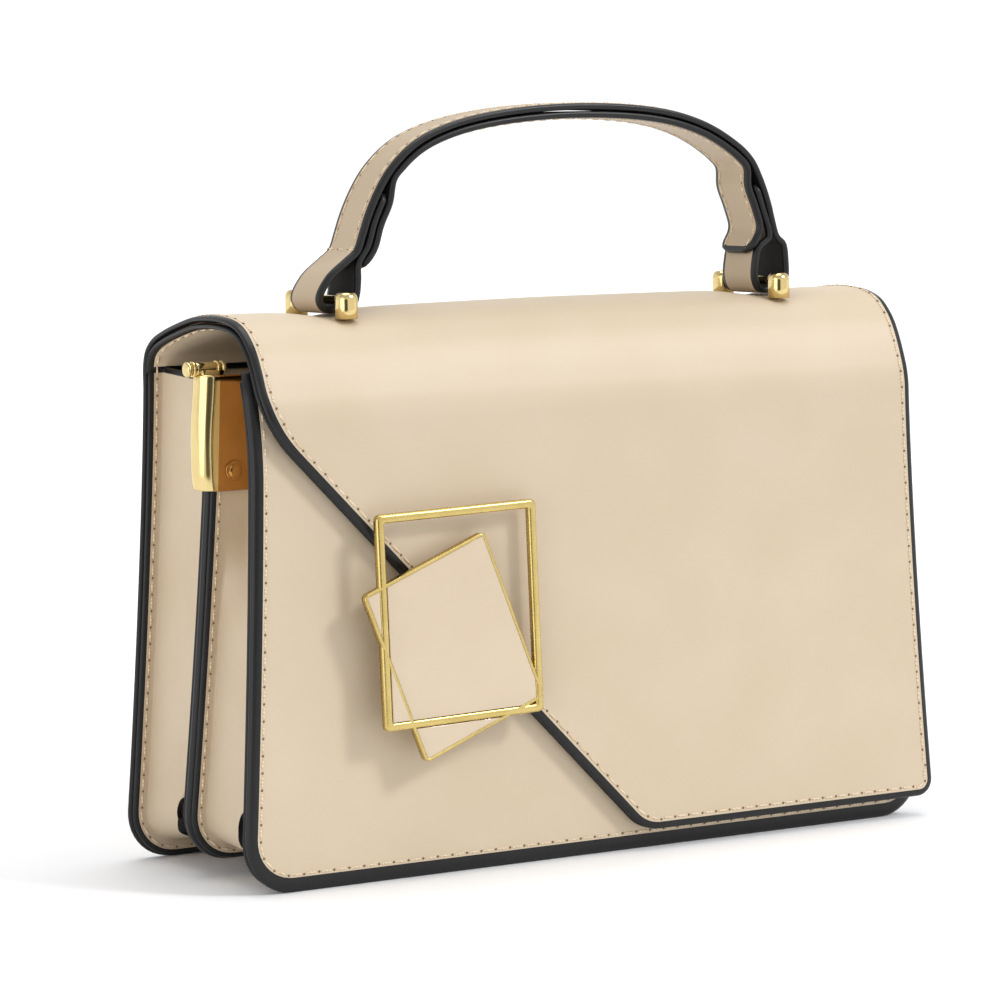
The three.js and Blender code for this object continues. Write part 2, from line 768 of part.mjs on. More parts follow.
// Turns and places a shape drawn round a centre in the clasp's plane
function placed(geometry, x, z, turn) {
  geometry.applyMatrix4(new THREE.Matrix4().makeRotationY(-radians(turn)));
  geometry.translate(x, 0, z);
  return geometry;
}

const plateX = claspX + plateShiftX;
const plateZ = claspHeight + plateShiftZ;
const onPlate = (x, z) => new THREE.Vector2(x, z).rotateAround(new THREE.Vector2(), radians(plateTurn))
  .add(new THREE.Vector2(plateX, plateZ));

// The corners of a rectangle on the bag's front, counter-clockwise from the bottom left
function cornersOf(width, height, x, z, turn) {
  const centre = new THREE.Vector2(x, z);
  return [[-1, -1], [1, -1], [1, 1], [-1, 1]].map(([i, j]) => (
    new THREE.Vector2(i * width / 2, j * height / 2)
      .rotateAround(new THREE.Vector2(), radians(turn))
      .add(centre)));
}

// Keeps the part of a convex outline that lies left of a line, seen along the line
function clipped(outline, from, to) {
  const along = to.clone().sub(from);
  const side = (p) => along.cross(p.clone().sub(from));
  const kept = [];
  outline.forEach((p, i) => {
    const q = outline[(i + 1) % outline.length];
    const a = side(p);
    const b = side(q);
    if (a >= 0) kept.push(p);
    if (a * b < 0) kept.push(p.clone().lerp(q, a / (a - b)));
  });
  return kept;
}

// Moves a line sideways, to its left
function shifted([from, to], distance) {
  const along = to.clone().sub(from).normalize();
  const across = new THREE.Vector2(-along.y, along.x).multiplyScalar(distance);
  return [from.clone().add(across), to.clone().add(across)];
}

const frameOutline = (inset) => cornersOf(
  frameWidth - inset, frameHeight - inset, claspX, claspHeight, frameTurn);
const plateBorderOutline = () => cornersOf(
  plateWidth - plateBorder, plateHeight, plateX, plateZ, plateTurn);

// The enamel fields: the plate's, parted by the upright frame's bars, and the frame's own corner
function enamelFields() {
  const margin = 2 * (plateBorder + enamelGap);
  const inside = cornersOf(plateWidth - margin, plateHeight - margin, plateX, plateZ, plateTurn);
  const border = plateBorderOutline();
  const outer = frameOutline(0);
  const inner = frameOutline(2 * frameBar);
  const within = (outline) => inner.reduce((rest, corner, i) => (
    clipped(rest, ...shifted([corner, inner[(i + 1) % inner.length]], enamelGap))), outline);
  const beyond = (outline, line) => clipped(outline, ...shifted(line, enamelGap));
  return {
    enamel_field_main: within(inside),
    enamel_field_corner: within(beyond(inner, [border[0], border[3]])),
    enamel_field_left: beyond(inside, [outer[0], outer[3]]),
    enamel_field_bottom: beyond(inside, [outer[1], outer[0]]),
  };
}

function prism(outline, front, back) {
  return plate(new THREE.Shape(outline), front, back, 0);
}

// The clasp's metal: an open frame and a turned plate, flush and soldered, with pockets for enamel
function claspFrames() {
  const open = rounded(frameWidth, frameHeight, frameCornerRadius);
  open.holes.push(rounded(frameWidth - 2 * frameBar, frameHeight - 2 * frameBar, frameInnerRadius));
  const flatFrame = plate(open, claspFront, claspBack, frameBevel, claspCornerSteps);
  const frame = placed(flatFrame, claspX, claspHeight, frameTurn);
  const outline = rounded(plateWidth, plateHeight, frameCornerRadius);
  const flatFace = plate(outline, claspFront, claspBack, plateBevel, claspCornerSteps);
  const face = placed(flatFace, plateX, plateZ, plateTurn);
  const border = plateBorderOutline();
  const corner = prism(clipped(frameOutline(frameBar), border[0], border[3]), claspFront, claspBack);
  let body = solid(frame).add(solid(face)).add(solid(corner));
  for (const field of Object.values(enamelFields())) {
    const pocket = prism(spread(field, enamelGap), claspFront - plateRecess, claspFront + plateRecess);
    body = body.subtract(solid(pocket));
  }
  return fromSolid(body);
}

// Moves every side of a convex outline outwards
function spread(outline, distance) {
  const lines = outline.map((p, i) => shifted([p, outline[(i + 1) % outline.length]], -distance));
  return lines.map((line, i) => {
    const before = lines[(i + lines.length - 1) % lines.length];
    const a = before[1].clone().sub(before[0]);
    const b = line[1].clone().sub(line[0]);
    const share = line[0].clone().sub(before[0]).cross(b) / a.cross(b);
    return before[0].clone().addScaledVector(a, share);
  });
}

// Plain hidden posts: one holds the clasp to the flap, the other catches it on the panel
function claspPost(localX, localZ, foot) {
  const { x, y: z } = onPlate(localX, localZ);
  const top = claspBack + clearance;
  const length = foot - clearance - top;
  const post = new THREE.CylinderGeometry(postRadius, postRadius, length, 20);
  post.translate(x, top + length / 2, z);
  return post;
}

// A side clip, drawn at the left edge round the divider's middle plane, its top at zero
function clipShape() {
  const outer = clipRoom + clipMetal;
  const shape = new THREE.Shape();
  shape.moveTo(clipLegLength, -outer);
  shape.lineTo(clipLegLength, -clipRoom);
  shape.lineTo(0, -clipRoom);
  shape.absarc(0, 0, clipRoom, -Math.PI / 2, Math.PI / 2, true);
  shape.lineTo(clipLipLength, clipRoom);
  shape.lineTo(clipLipLength, outer);
  shape.lineTo(0, outer);
  shape.absarc(0, 0, outer, Math.PI / 2, -Math.PI / 2, false);
  return shape;
}

const rivetX = rivetFromEdge;
const outerEar = -capOuter + earThickness / 2;
const innerEar = capInner - earThickness / 2;

function sideClip() {
  const settings = { depth: clipHeight, bevelEnabled: false, curveSegments: 8 };
  const strip = new THREE.ExtrudeGeometry(clipShape(), settings);
  strip.translate(0, 0, -clipHeight);
  const cap = new THREE.BoxGeometry(capOuter + capInner, 2 * clipRoom, capThickness);
  cap.translate((capInner - capOuter) / 2, 0, -capThickness / 2);
  let body = solid(strip).add(solid(cap));
  for (const x of [outerEar, innerEar]) {
    const stem = new THREE.BoxGeometry(earThickness, 2 * earRadius, earRise + capThickness / 2);
    stem.translate(x, 0, (earRise - capThickness / 2) / 2);
    const eye = new THREE.CylinderGeometry(earRadius, earRadius, earThickness, 16);
    eye.rotateZ(Math.PI / 2);
    eye.translate(x, 0, earRise);
    body = body.add(solid(stem)).add(solid(eye));
  }
  const holeRadius = sideBarRadius + clearance;
  const hole = new THREE.CylinderGeometry(holeRadius, holeRadius, 3 * capOuter, 12);
  hole.rotateZ(Math.PI / 2);
  hole.translate(0, 0, earRise);
  const rivetHole = new THREE.CylinderGeometry(
    rivetShankRadius + clearance, rivetShankRadius + clearance, 4 * clipMetal, 12);
  rivetHole.translate(rivetX, -clipRoom - clipMetal / 2, -rivetFromTop);
  return fromSolid(body.subtract(solid(hole)).subtract(solid(rivetHole)));
}

// The strap bar: a round pin through the ears with a knob on each end
function sideBar() {
  const innerEnd = capInner + clearance;
  const outerEnd = -capOuter - clearance;
  const soft = knobLength / 4;
  const profile = [
    [0, outerEnd - knobLength], [knobRadius - soft, outerEnd - knobLength],
    [knobRadius, outerEnd - knobLength + soft], [knobRadius, outerEnd - soft],
    [knobRadius - soft, outerEnd], [sideBarRadius, outerEnd],
    [sideBarRadius, innerEnd], [knobRadius - soft, innerEnd], [knobRadius, innerEnd + soft],
    [knobRadius, innerEnd + knobLength - soft], [knobRadius - soft, innerEnd + knobLength],
    [0, innerEnd + knobLength],
  ].map(([r, x]) => new THREE.Vector2(r, x));
  const bar = new THREE.LatheGeometry(profile, 16);
  bar.rotateZ(-Math.PI / 2);
  bar.translate(0, 0, earRise);
  return bar;
}

// The rivet in the clip's front leg
function sideRivet() {
  const face = clipRoom + clipMetal + clearance;
  const profile = [
    [0, clipRoom + clearance / 3], [rivetShankRadius, clipRoom + clearance / 3], [rivetShankRadius, face],
    [rivetHeadRadius, face], [rivetHeadRadius, face + 0.35 * rivetHeadHeight],
    [0.75 * rivetHeadRadius, face + 0.85 * rivetHeadHeight], [0, face + rivetHeadHeight],
  ].map(([r, y]) => new THREE.Vector2(r, y));
  const rivet = new THREE.LatheGeometry(profile, 16);
  rivet.rotateX(Math.PI);
  rivet.translate(rivetX, 0, -rivetFromTop);
  return rivet;
}

// Puts a side piece at its edge of the divider, leaning with it, and mirrors it on the right
function besideDivider(geometry, side) {
  const edge = panelHalf(clipTop) - clipEdgeGap;
  geometry.applyMatrix4(new THREE.Matrix4().makeRotationX(dividerTilt));
  geometry.translate(-edge, dividerAt(clipTop), clipTop);
  if (side < 0) return geometry;
  geometry.scale(-1, 1, 1);
  return outwards(geometry.index ? geometry : mergeVertices(geometry));
}

function node(name, geometry, material) {
  const mesh = new THREE.Mesh(geometry, material);
  mesh.name = name;
  return mesh;
}

const bag = new THREE.Group();
bag.add(node('back_and_flap', backAndFlap(), leather(beige)));
bag.add(node('flap_lining', flapLining(), leather(paleLining)));
bag.add(node('front_panel', frontPanel(), leather(beige)));
bag.add(node('divider', divider(), leather(shadedBeige)));
bag.add(node('rear_gusset', rearGusset(), leather(shadedBeige)));
bag.add(node('front_gusset', frontGusset(), leather(shadedBeige)));
bag.add(node('handle_strap', handleStrap(), leather(beige)));
bag.add(node('handle_lining', handleLining(), leather(paleLining)));
bag.add(node('clasp_frames', claspFrames(), metal()));
for (const [name, outline] of Object.entries(enamelFields())) {
  const seat = claspFront + plateRecess - enamelGap;
  bag.add(node(name, prism(outline, claspFront + enamelGap, seat), enamel()));
}
bag.add(node('clasp_post', claspPost(postPlateX, postPlateZ, flapFront), metal()));
bag.add(node('clasp_catch', claspPost(catchPlateX, catchPlateZ, -frontReach), metal()));
for (const [word, side] of [['left', -1], ['right', 1]]) {
  bag.add(node(`handle_mount_${word}`, handleMount(side), metal()));
  bag.add(node(`side_clip_${word}`, besideDivider(sideClip(), side), metal()));
  bag.add(node(`side_bar_${word}`, besideDivider(sideBar(), side), metal()));
  bag.add(node(`side_rivet_${word}`, besideDivider(sideRivet(), side), metal()));
}

// The origin lies on the floor under the middle of the bag's width and depth
bag.position.y = -(backReach + claspFront) / 2;
const handbag = new THREE.Group();
handbag.add(bag);

export default handbag;
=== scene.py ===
# %% [markdown]
# # A structured leather handbag
# The bag is a leather box with two compartments, closed by a slanted flap. A strap handle is looped
# over two metal bars on top, and a clasp of two crossed frames sits on the front.
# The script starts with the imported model. That model fixes where every piece is, and the cells below
# build the visible leather and metal around the same sizes.

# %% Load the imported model
import json
import math
import bpy
import numpy as np
from mathutils import Matrix, Vector

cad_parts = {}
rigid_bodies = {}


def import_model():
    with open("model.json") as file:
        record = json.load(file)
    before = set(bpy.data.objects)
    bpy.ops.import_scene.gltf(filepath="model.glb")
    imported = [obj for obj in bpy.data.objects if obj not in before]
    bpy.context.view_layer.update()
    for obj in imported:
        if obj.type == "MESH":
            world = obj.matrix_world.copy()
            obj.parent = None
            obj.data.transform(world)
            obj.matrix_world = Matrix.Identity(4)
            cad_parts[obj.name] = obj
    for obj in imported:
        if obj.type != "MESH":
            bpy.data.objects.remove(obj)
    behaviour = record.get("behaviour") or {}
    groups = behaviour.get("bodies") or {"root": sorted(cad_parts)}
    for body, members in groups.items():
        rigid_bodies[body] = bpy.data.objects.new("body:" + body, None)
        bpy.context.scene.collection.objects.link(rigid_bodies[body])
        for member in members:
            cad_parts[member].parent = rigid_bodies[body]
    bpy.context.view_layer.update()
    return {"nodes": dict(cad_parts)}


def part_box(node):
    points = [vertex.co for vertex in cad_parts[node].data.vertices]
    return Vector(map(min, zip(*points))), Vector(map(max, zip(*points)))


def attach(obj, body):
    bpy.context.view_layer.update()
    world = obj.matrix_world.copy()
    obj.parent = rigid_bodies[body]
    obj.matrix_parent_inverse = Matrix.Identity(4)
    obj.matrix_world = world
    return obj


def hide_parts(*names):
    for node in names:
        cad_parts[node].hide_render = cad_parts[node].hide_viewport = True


for leftover in list(bpy.context.scene.objects):
    bpy.data.objects.remove(leftover)
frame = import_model()
print("nodes:", len(frame["nodes"]))

# %% [markdown]
# ## Units and places
# A bag maker works in millimetres, so the sizes below are millimetres. Meshes are turned to metres
# where they are made. The sizes are drawn round the plane of the handle, and the frame says where
# that plane lies, so nothing is fitted by eye.

# %% Where the drawing plane lies in the frame
METRE = 0.001
strap_low, strap_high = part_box("handle_strap")
drawing_shift = Vector((0, (strap_low.y + strap_high.y) / 2, 0))
print("the handle's plane is at y =", round(drawing_shift.y / METRE, 2), "mm")

# %% [markdown]
# ## Colour and node helpers
# Colours are written as the hex values that a picture editor shows. Shaders work with linear light,
# so one function turns them. A second function adds a node with its settings and links, which keeps
# each material short enough to read.

# %% Helpers for colours and shader nodes
def linear(hex_colour):
    """An sRGB hex colour as linear red, green, blue and alpha."""
    channels = [int(hex_colour[i:i + 2], 16) / 255 for i in (1, 3, 5)]
    return tuple(c / 12.92 if c <= 0.04045 else ((c + 0.055) / 1.055) ** 2.4 for c in channels) + (1.0,)


def add_node(tree, kind, settings=None, values=None, links=None):
    """Adds a node: settings are its properties, values its inputs, links its inputs' sources."""
    made = tree.nodes.new(kind)
    for key, value in (settings or {}).items():
        setattr(made, key, value)
    for key, value in (values or {}).items():
        made.inputs[key].default_value = value
    for key, source in (links or {}).items():
        tree.links.new(source, made.inputs[key])
    return made


def new_material(name, **sockets):
    """A material with one Principled shader, whose sockets are set by name."""
    material = bpy.data.materials.new(name)
    material.use_nodes = True
    shader = material.node_tree.nodes["Principled BSDF"]
    for key, value in sockets.items():
        shader.inputs[key.replace("_", " ")].default_value = value
    return material, material.node_tree, shader


def object_noise(tree, scale, detail=2.0, roughness=0.5, stretch=(1, 1, 1)):
    """Noise on Object coordinates. The scale is in blobs per metre."""
    place = add_node(tree, "ShaderNodeTexCoord")
    mapping = add_node(tree, "ShaderNodeMapping", values={"Scale": stretch},
                       links={"Vector": place.outputs["Object"]})
    return add_node(tree, "ShaderNodeTexNoise",
                    values={"Scale": scale, "Detail": detail, "Roughness": roughness},
                    links={"Vector": mapping.outputs["Vector"]})


COLOUR_ONE, COLOUR_TWO, COLOUR_OUT = 6, 7, 2


def two_tones(tree, shader, factor, one, two):
    """Mixes two colours by a factor and gives the result to the shader."""
    mix = add_node(tree, "ShaderNodeMix", {"data_type": "RGBA"}, links={"Factor": factor})
    mix.inputs[COLOUR_ONE].default_value = linear(one)
    mix.inputs[COLOUR_TWO].default_value = linear(two)
    tree.links.new(mix.outputs[COLOUR_OUT], shader.inputs["Base Color"])


def relief(tree, shader, height, strength, depth_mm):
    """Gives the shader a bump from a height that stands for some millimetres."""
    bump = add_node(tree, "ShaderNodeBump", links={"Height": height},
                    values={"Strength": strength, "Distance": depth_mm * METRE})
    tree.links.new(bump.outputs["Normal"], shader.inputs["Normal"])

# %% [markdown]
# ## Leather
# The bag is made of smooth calf leather with a corrected grain: the surface is sanded, coloured with
# pigment and pressed. That leaves a fine pebble of about a third of a millimetre, an even satin sheen
# and very slight changes of tone. The pebble is a bump from cell noise, and the tone is slow noise.

# %% The leather materials
def corrected_grain_leather(name, colour, darker, grain_mm, bump, gloss, tone_mm=28):
    """Pigmented calf leather. Tone drifts over tone_mm, and the grain's cells are grain_mm wide."""
    material, tree, shader = new_material(name, Roughness=gloss, IOR=1.48)
    tone = object_noise(tree, 1 / (tone_mm * METRE), 3.0)
    ramp = add_node(tree, "ShaderNodeMapRange",
                    values={"From Min": 0.35, "From Max": 0.68, "To Min": 0.0, "To Max": 1.0},
                    links={"Value": tone.outputs["Fac"]})
    two_tones(tree, shader, ramp.outputs["Result"], colour, darker)
    place = add_node(tree, "ShaderNodeTexCoord")
    cells = add_node(tree, "ShaderNodeTexVoronoi", {"feature": "SMOOTH_F1"},
                     {"Scale": 1 / (grain_mm * METRE), "Smoothness": 0.6},
                     {"Vector": place.outputs["Object"]})
    pores = object_noise(tree, 1 / (2.4 * grain_mm * METRE), 2.0)
    height = add_node(tree, "ShaderNodeMath", {"operation": "MULTIPLY_ADD"}, {1: 0.5},
                      {0: pores.outputs["Fac"], 2: cells.outputs["Distance"]})
    relief(tree, shader, height.outputs["Value"], strength=bump, depth_mm=0.06)
    sheen = add_node(tree, "ShaderNodeMapRange",
                     values={"To Min": gloss - 0.05, "To Max": gloss + 0.07},
                     links={"Value": pores.outputs["Fac"]})
    tree.links.new(sheen.outputs["Result"], shader.inputs["Roughness"])
    return material


leather = corrected_grain_leather("Calf leather, pressed grain", "#C9B8A0", "#C6B59B", 0.42, 0.22, 0.46)
gusset_leather = corrected_grain_leather("Calf leather, gusset split", "#C9B79E", "#C4B196", 0.5, 0.3, 0.5)
lining_leather = corrected_grain_leather("Lining leather, matt", "#EAD5B8", "#E3CDAE", 0.6, 0.35, 0.62)
backing_leather = corrected_grain_leather("Backing, black", "#141414", "#1A1A1A", 0.6, 0.2, 0.7)
print("leathers:", leather.name, "|", gusset_leather.name, "|", lining_leather.name)

# %% [markdown]
# ## Edge paint, thread and the stitch holes
# Cut leather edges are sealed with several coats of acrylic edge paint, which dries to a rounded,
# rubbery black bead with a satin shine and faint brush waviness. The seams are sewn with a waxed
# polyester thread a little paler than the leather, and each needle hole shows as a brown dot.

# %% Edge paint and thread
def acrylic_edge_paint():
    material, tree, shader = new_material("Acrylic edge paint, black", Roughness=0.38, IOR=1.4)
    wave = object_noise(tree, 1 / (1.6 * METRE), 3.0)
    two_tones(tree, shader, wave.outputs["Fac"], "#121213", "#1B1B1C")
    relief(tree, shader, wave.outputs["Fac"], strength=0.25, depth_mm=0.12)
    return material


def waxed_thread():
    material, tree, shader = new_material("Waxed polyester thread", Roughness=0.5, IOR=1.5)
    place = add_node(tree, "ShaderNodeTexCoord")
    twist = add_node(tree, "ShaderNodeTexWave", {"bands_direction": "DIAGONAL"},
                     {"Scale": 1 / (1.8 * METRE), "Distortion": 1.0}, {"Vector": place.outputs["Object"]})
    two_tones(tree, shader, twist.outputs["Fac"], "#C9B08C", "#E6D6BC")
    return material


def needle_hole():
    material, tree, shader = new_material("Needle hole, shaded", Roughness=0.9)
    # Each needle hole is a flat brown dot of painted shade, mottled by noise.
    hole_shade_mottle = object_noise(tree, 1 / (0.5 * METRE))
    two_tones(tree, shader, hole_shade_mottle.outputs["Fac"], "#6B5036", "#8A6C4C")
    return material


edge_paint = acrylic_edge_paint()
thread = waxed_thread()
hole_shade = needle_hole()
print("trims:", edge_paint.name, "|", thread.name, "|", hole_shade.name)

# %% [markdown]
# ## A leather sheet
# Every leather piece is one sheet: a middle surface, a thickness and a painted rim that bulges
# outwards like a bead. It could be a plane with a Solidify modifier, but then the rim would be flat
# and the paint line would wander. Here one function takes a grid of points on the middle surface.
# It lays a skin on both sides and closes the border with a half-round rim of its own material, so
# the paint line is exactly where the skin ends.

# %% Helpers for smooth lines and sheets
def smooth_line(points, per_span=8):
    """A centripetal Catmull-Rom line through points, with per_span steps between neighbours."""
    p = np.array(points, float)
    p = np.vstack([2 * p[0] - p[1], p, 2 * p[-1] - p[-2]])
    made = []
    for a, b, c, d in zip(p, p[1:], p[2:], p[3:]):
        knots = np.cumsum([0] + [max(1e-6, np.linalg.norm(v)) ** 0.5 for v in (b - a, c - b, d - c)])
        for t in np.linspace(knots[1], knots[2], per_span, endpoint=False)[:, None]:
            ab = (knots[1] - t) / knots[1] * a + t / knots[1] * b
            bc = ((knots[2] - t) * b + (t - knots[1]) * c) / (knots[2] - knots[1])
            cd = ((knots[3] - t) * c + (t - knots[2]) * d) / (knots[3] - knots[2])
            abc = ((knots[2] - t) * ab + t * bc) / knots[2]
            bcd = ((knots[3] - t) * bc + (t - knots[1]) * cd) / (knots[3] - knots[1])
            made.append(((knots[2] - t) * abc + (t - knots[1]) * bcd) / (knots[2] - knots[1]))
    made.append(p[-2][None, :])
    return np.vstack([np.atleast_2d(m) for m in made])


def unit(v):
    return v / np.maximum(np.linalg.norm(v, axis=-1, keepdims=True), 1e-9)


def directions(points, axis=0):
    """Unit directions along one axis of a row or grid of points."""
    step = unit(np.diff(points, axis=axis))
    first = np.take(step, [0], axis=axis)
    last = np.take(step, [-1], axis=axis)
    return unit(np.concatenate([first, step], axis=axis) + np.concatenate([step, last], axis=axis))


def new_piece(name, points, faces, materials, face_slots=None, smooth=True):
    """A mesh object from millimetre points drawn round the handle's plane."""
    mesh = bpy.data.meshes.new(name)
    shift = np.array(drawing_shift)
    mesh.from_pydata((np.asarray(points) * METRE + shift).tolist(), [], [list(map(int, f)) for f in faces])
    for material in materials:
        mesh.materials.append(material)
    if face_slots is not None:
        mesh.polygons.foreach_set("material_index", np.asarray(face_slots, np.int32))
    if smooth:
        mesh.shade_smooth()
    mesh.validate()
    piece = bpy.data.objects.new(name, mesh)
    bpy.context.scene.collection.objects.link(piece)
    return piece


def border_of(rows, columns):
    """The grid places round a border, once round."""
    top = [(0, j) for j in range(columns - 1)]
    right = [(i, columns - 1) for i in range(rows - 1)]
    bottom = [(rows - 1, j) for j in range(columns - 1, 0, -1)]
    left = [(i, 0) for i in range(rows - 1, 0, -1)]
    return top + right + bottom + left


def sheet_piece(name, middle, thickness, rim, materials, rim_steps=6, round_share=1.0):
    """A sheet from a grid of middle points. Materials: outer skin, rim, inner skin."""
    rows, columns, _ = middle.shape
    normal = unit(np.cross(directions(middle, 0), directions(middle, 1)))
    half = thickness / 2
    count = rows * columns
    points = [(middle + normal * half).reshape(-1, 3), (middle - normal * half).reshape(-1, 3)]
    index = np.arange(count).reshape(rows, columns)
    quads = np.stack([index[:-1, :-1], index[1:, :-1], index[1:, 1:], index[:-1, 1:]], -1).reshape(-1, 4)
    faces = [quads, quads[:, ::-1] + count]
    slots = [0] * len(quads) + [2] * len(quads)
    border = border_of(rows, columns)
    at = np.array([middle[i, j] for i, j in border])
    up = np.array([normal[i, j] for i, j in border])
    before = unit(at - np.roll(at, 1, axis=0))
    after = unit(np.roll(at, -1, axis=0) - at)
    out_before, out_after = unit(np.cross(up, before)), unit(np.cross(up, after))
    mitre = (out_before + out_after) / (1 + np.sum(out_before * out_after, axis=1, keepdims=True))
    ring = np.array([index[i, j] for i, j in border])
    start = 2 * count
    for step in range(1, rim_steps):
        angle = math.pi / 2 - math.pi * step / rim_steps
        out, high = math.cos(angle) ** round_share, math.copysign(abs(math.sin(angle)) ** round_share, angle)
        points.append(at + mitre * rim * out + up * half * high)
        following = start + np.arange(len(border))
        faces.append(np.stack([ring, np.roll(ring, -1), np.roll(following, -1), following], -1))
        ring, start = following, start + len(border)
    lower = np.array([index[i, j] for i, j in border]) + count
    faces.append(np.stack([ring, np.roll(ring, -1), np.roll(lower, -1), lower], -1))
    slots += [1] * (rim_steps * len(border))
    return new_piece(name, np.vstack(points), np.vstack(faces), materials, slots)


def finish_piece(piece, slot, *nodes):
    """Hides the nodes the piece stands for and hangs the piece on the root body. The slot is not used."""
    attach(piece, "root")
    if nodes:
        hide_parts(*nodes)
    print(piece.name, len(piece.data.polygons), "faces")
    return piece

# %% [markdown]
# ## The bag's outlines
# The panels are a little wider at the floor than at the top and have round bottom corners. Paint
# covers the rim, so each sheet's grid ends at the paint line and the rim takes it to the real edge.
# That is what inset stands for below: the distance from the real edge to the paint line.

# %% Sizes of the bag's body
BAG_HEIGHT = 150.6
FRONT_REACH, BACK_REACH, BACK_LEAN = 25.5, 46.4, 0.06
PANEL_HALF, PANEL_FLARE, FLARE_HEIGHT, FLARE_CURVE = 104.2, 5.6, 130, 1.5
PANEL_CORNER = 14
CLEARANCE = 0.3
PANEL_LEATHER, DIVIDER_LEATHER, OUTER_LEATHER, LINING, GUSSET = 3.0, 2.8, 1.8, 1.6, 1.4
FRONT_TOP, LEAN_START, LEAN_DEPTH, LEAN_CURVE = 136.6, 110, 4.8, 1.5
DIVIDER_SEAT, DIVIDER_LEAN, DIVIDER_LIFT, DIVIDER_TOP = 11.9, 0.095, 4, 133.1
PAINT, PANEL_PAINT, PANEL_FOOT, DIVIDER_PAINT = 2.0, 2.9, 4.1, 1.6
FLAP_FRONT = -(FRONT_REACH + CLEARANCE + LINING + CLEARANCE + OUTER_LEATHER)


def flare(z):
    return np.maximum(0, 1 - z / FLARE_HEIGHT) ** FLARE_CURVE


def panel_half(z):
    return PANEL_HALF + PANEL_FLARE * flare(z)


def front_face(z):
    """The front panel's outer face, which leans back at the top under the flap's bend."""
    share = np.maximum(0, z - LEAN_START) / (FRONT_TOP - LEAN_START)
    return -FRONT_REACH + LEAN_DEPTH * share ** LEAN_CURVE


def corner_cut(above, radius):
    """How far a round corner draws the side in, at a height above the bottom."""
    drop = radius - np.clip(above, 0, radius)
    return radius - np.sqrt(np.maximum(0, radius ** 2 - drop ** 2))


def corner_heights(radius, steps=12):
    """Heights over a round corner, close together where its outline is flat."""
    return radius * (1 - np.cos(np.linspace(0, math.pi / 2, steps)))


def shares_across(columns=49, crowd=0.25):
    """Places across a piece from -1 to 1, a little closer together at the edges."""
    t = np.linspace(-1, 1, columns)
    return t + crowd * np.sin(math.pi * t) / math.pi


print("flap's outer face at y =", FLAP_FRONT)

# %% [markdown]
# ## Front panel and divider
# Both are upright boards covered with leather. Their rims are thick beads of paint: the front panel's
# rim frames the whole front of the bag below the flap.

# %% Build the two upright panels
def foot_directions(middle):
    """For each border point, which of its x, y and z take the foot's wide band: z in the lower half."""
    rows, columns, _ = middle.shape
    heights = np.array([middle[i, j, 2] for i, j in border_of(rows, columns)])
    down = heights < (heights.min() + heights.max()) / 2
    return np.stack([np.zeros_like(down), np.zeros_like(down), down], -1)


def upright_panel(name, bottom, top, y_at, thickness, paint, foot, materials):
    """A flared panel with round bottom corners, from its paint line inwards. The foot's band is wider."""
    low = bottom + foot
    radius = PANEL_CORNER - paint
    z = np.concatenate([low + corner_heights(radius), np.linspace(low + radius, top - paint, 30)[1:]])
    half = panel_half(z) - paint - corner_cut(z - low, radius)
    share = shares_across()
    x = half[:, None] * share
    z_grid = np.repeat(z[:, None], len(share), axis=1)
    middle = np.stack([x, y_at(z_grid), z_grid], -1)[:, ::-1]
    rim = np.where(foot_directions(middle), foot, paint)
    return sheet_piece(name, middle, thickness, rim, materials, rim_steps=8)


panel_skin = [leather, edge_paint, lining_leather]
front_panel = upright_panel(
    "front_panel_leather", 0, FRONT_TOP, lambda z: front_face(z) + PANEL_LEATHER / 2,
    PANEL_LEATHER, PANEL_PAINT, PANEL_FOOT, panel_skin)
finish_piece(front_panel, "leather", "front_panel")
divider = upright_panel(
    "divider_leather", DIVIDER_LIFT, DIVIDER_TOP, lambda z: DIVIDER_SEAT - DIVIDER_LEAN * z,
    DIVIDER_LEATHER, DIVIDER_PAINT, DIVIDER_PAINT, [gusset_leather, edge_paint, gusset_leather])
finish_piece(divider, "leather", "divider")

# %% [markdown]
# ## Back and flap
# One long hide goes up the back, over the top and down the front, where it is cut on the slant. Its
# shape follows a rule: a profile seen from the side, swept across the bag, with an outline that says
# how wide it is at each row. The lining under the flap is a second sheet on the same profile, a
# thickness further in, and the groove between the two painted rims comes by itself.

# %% The profile over the top, and how the top dips
FLAP_HALF, FLAP_FLARE, FLAP_BOTTOM = 103.3, 7.6, 5.6
SLANT_START, SLANT_RUN, SLANT_CORNER, FLAP_CORNER, SLANT_BLEND = 123.5, 0.9745, 12, 5, 9
CROWN_START, LINING_END, GUIDE_START, BACK_TOP = 124, 136.3, 128.0, 126
FRONT_STEPS, FOOT_STEPS, BACK_STEPS = 64, 14, 30
HANDLE_SPAN, LUG_DIP, DIP_SPREAD, CROWN_SWELL = 69.5, 1.6, 9, 0.8
crown_rows = [
    {"depth": 1.0, "height": 0.8632}, {"depth": 0.9956, "height": 0.9064},
    {"depth": 0.9706, "height": 0.9336}, {"depth": 0.9148, "height": 0.9535},
    {"depth": 0.8297, "height": 0.9688}, {"depth": 0.7122, "height": 0.9834},
    {"depth": 0.5800, "height": 0.9960}, {"depth": 0.4993, "height": 0.9993},
    {"depth": 0.3862, "height": 1.0}, {"depth": 0.2614, "height": 0.9934},
    {"depth": 0.1850, "height": 0.9801}, {"depth": 0.1307, "height": 0.9595},
    {"depth": 0.0954, "height": 0.9402}, {"depth": 0.0600, "height": 0.9110},
    {"depth": 0.0280, "height": 0.8760}, {"depth": 0.0090, "height": 0.8500},
]
crown_back = BACK_REACH - BACK_LEAN * crown_rows[0]["height"] * BAG_HEIGHT
crown_depth = crown_back - FLAP_FRONT


def flap_half(z):
    return FLAP_HALF + FLAP_FLARE * flare(z)


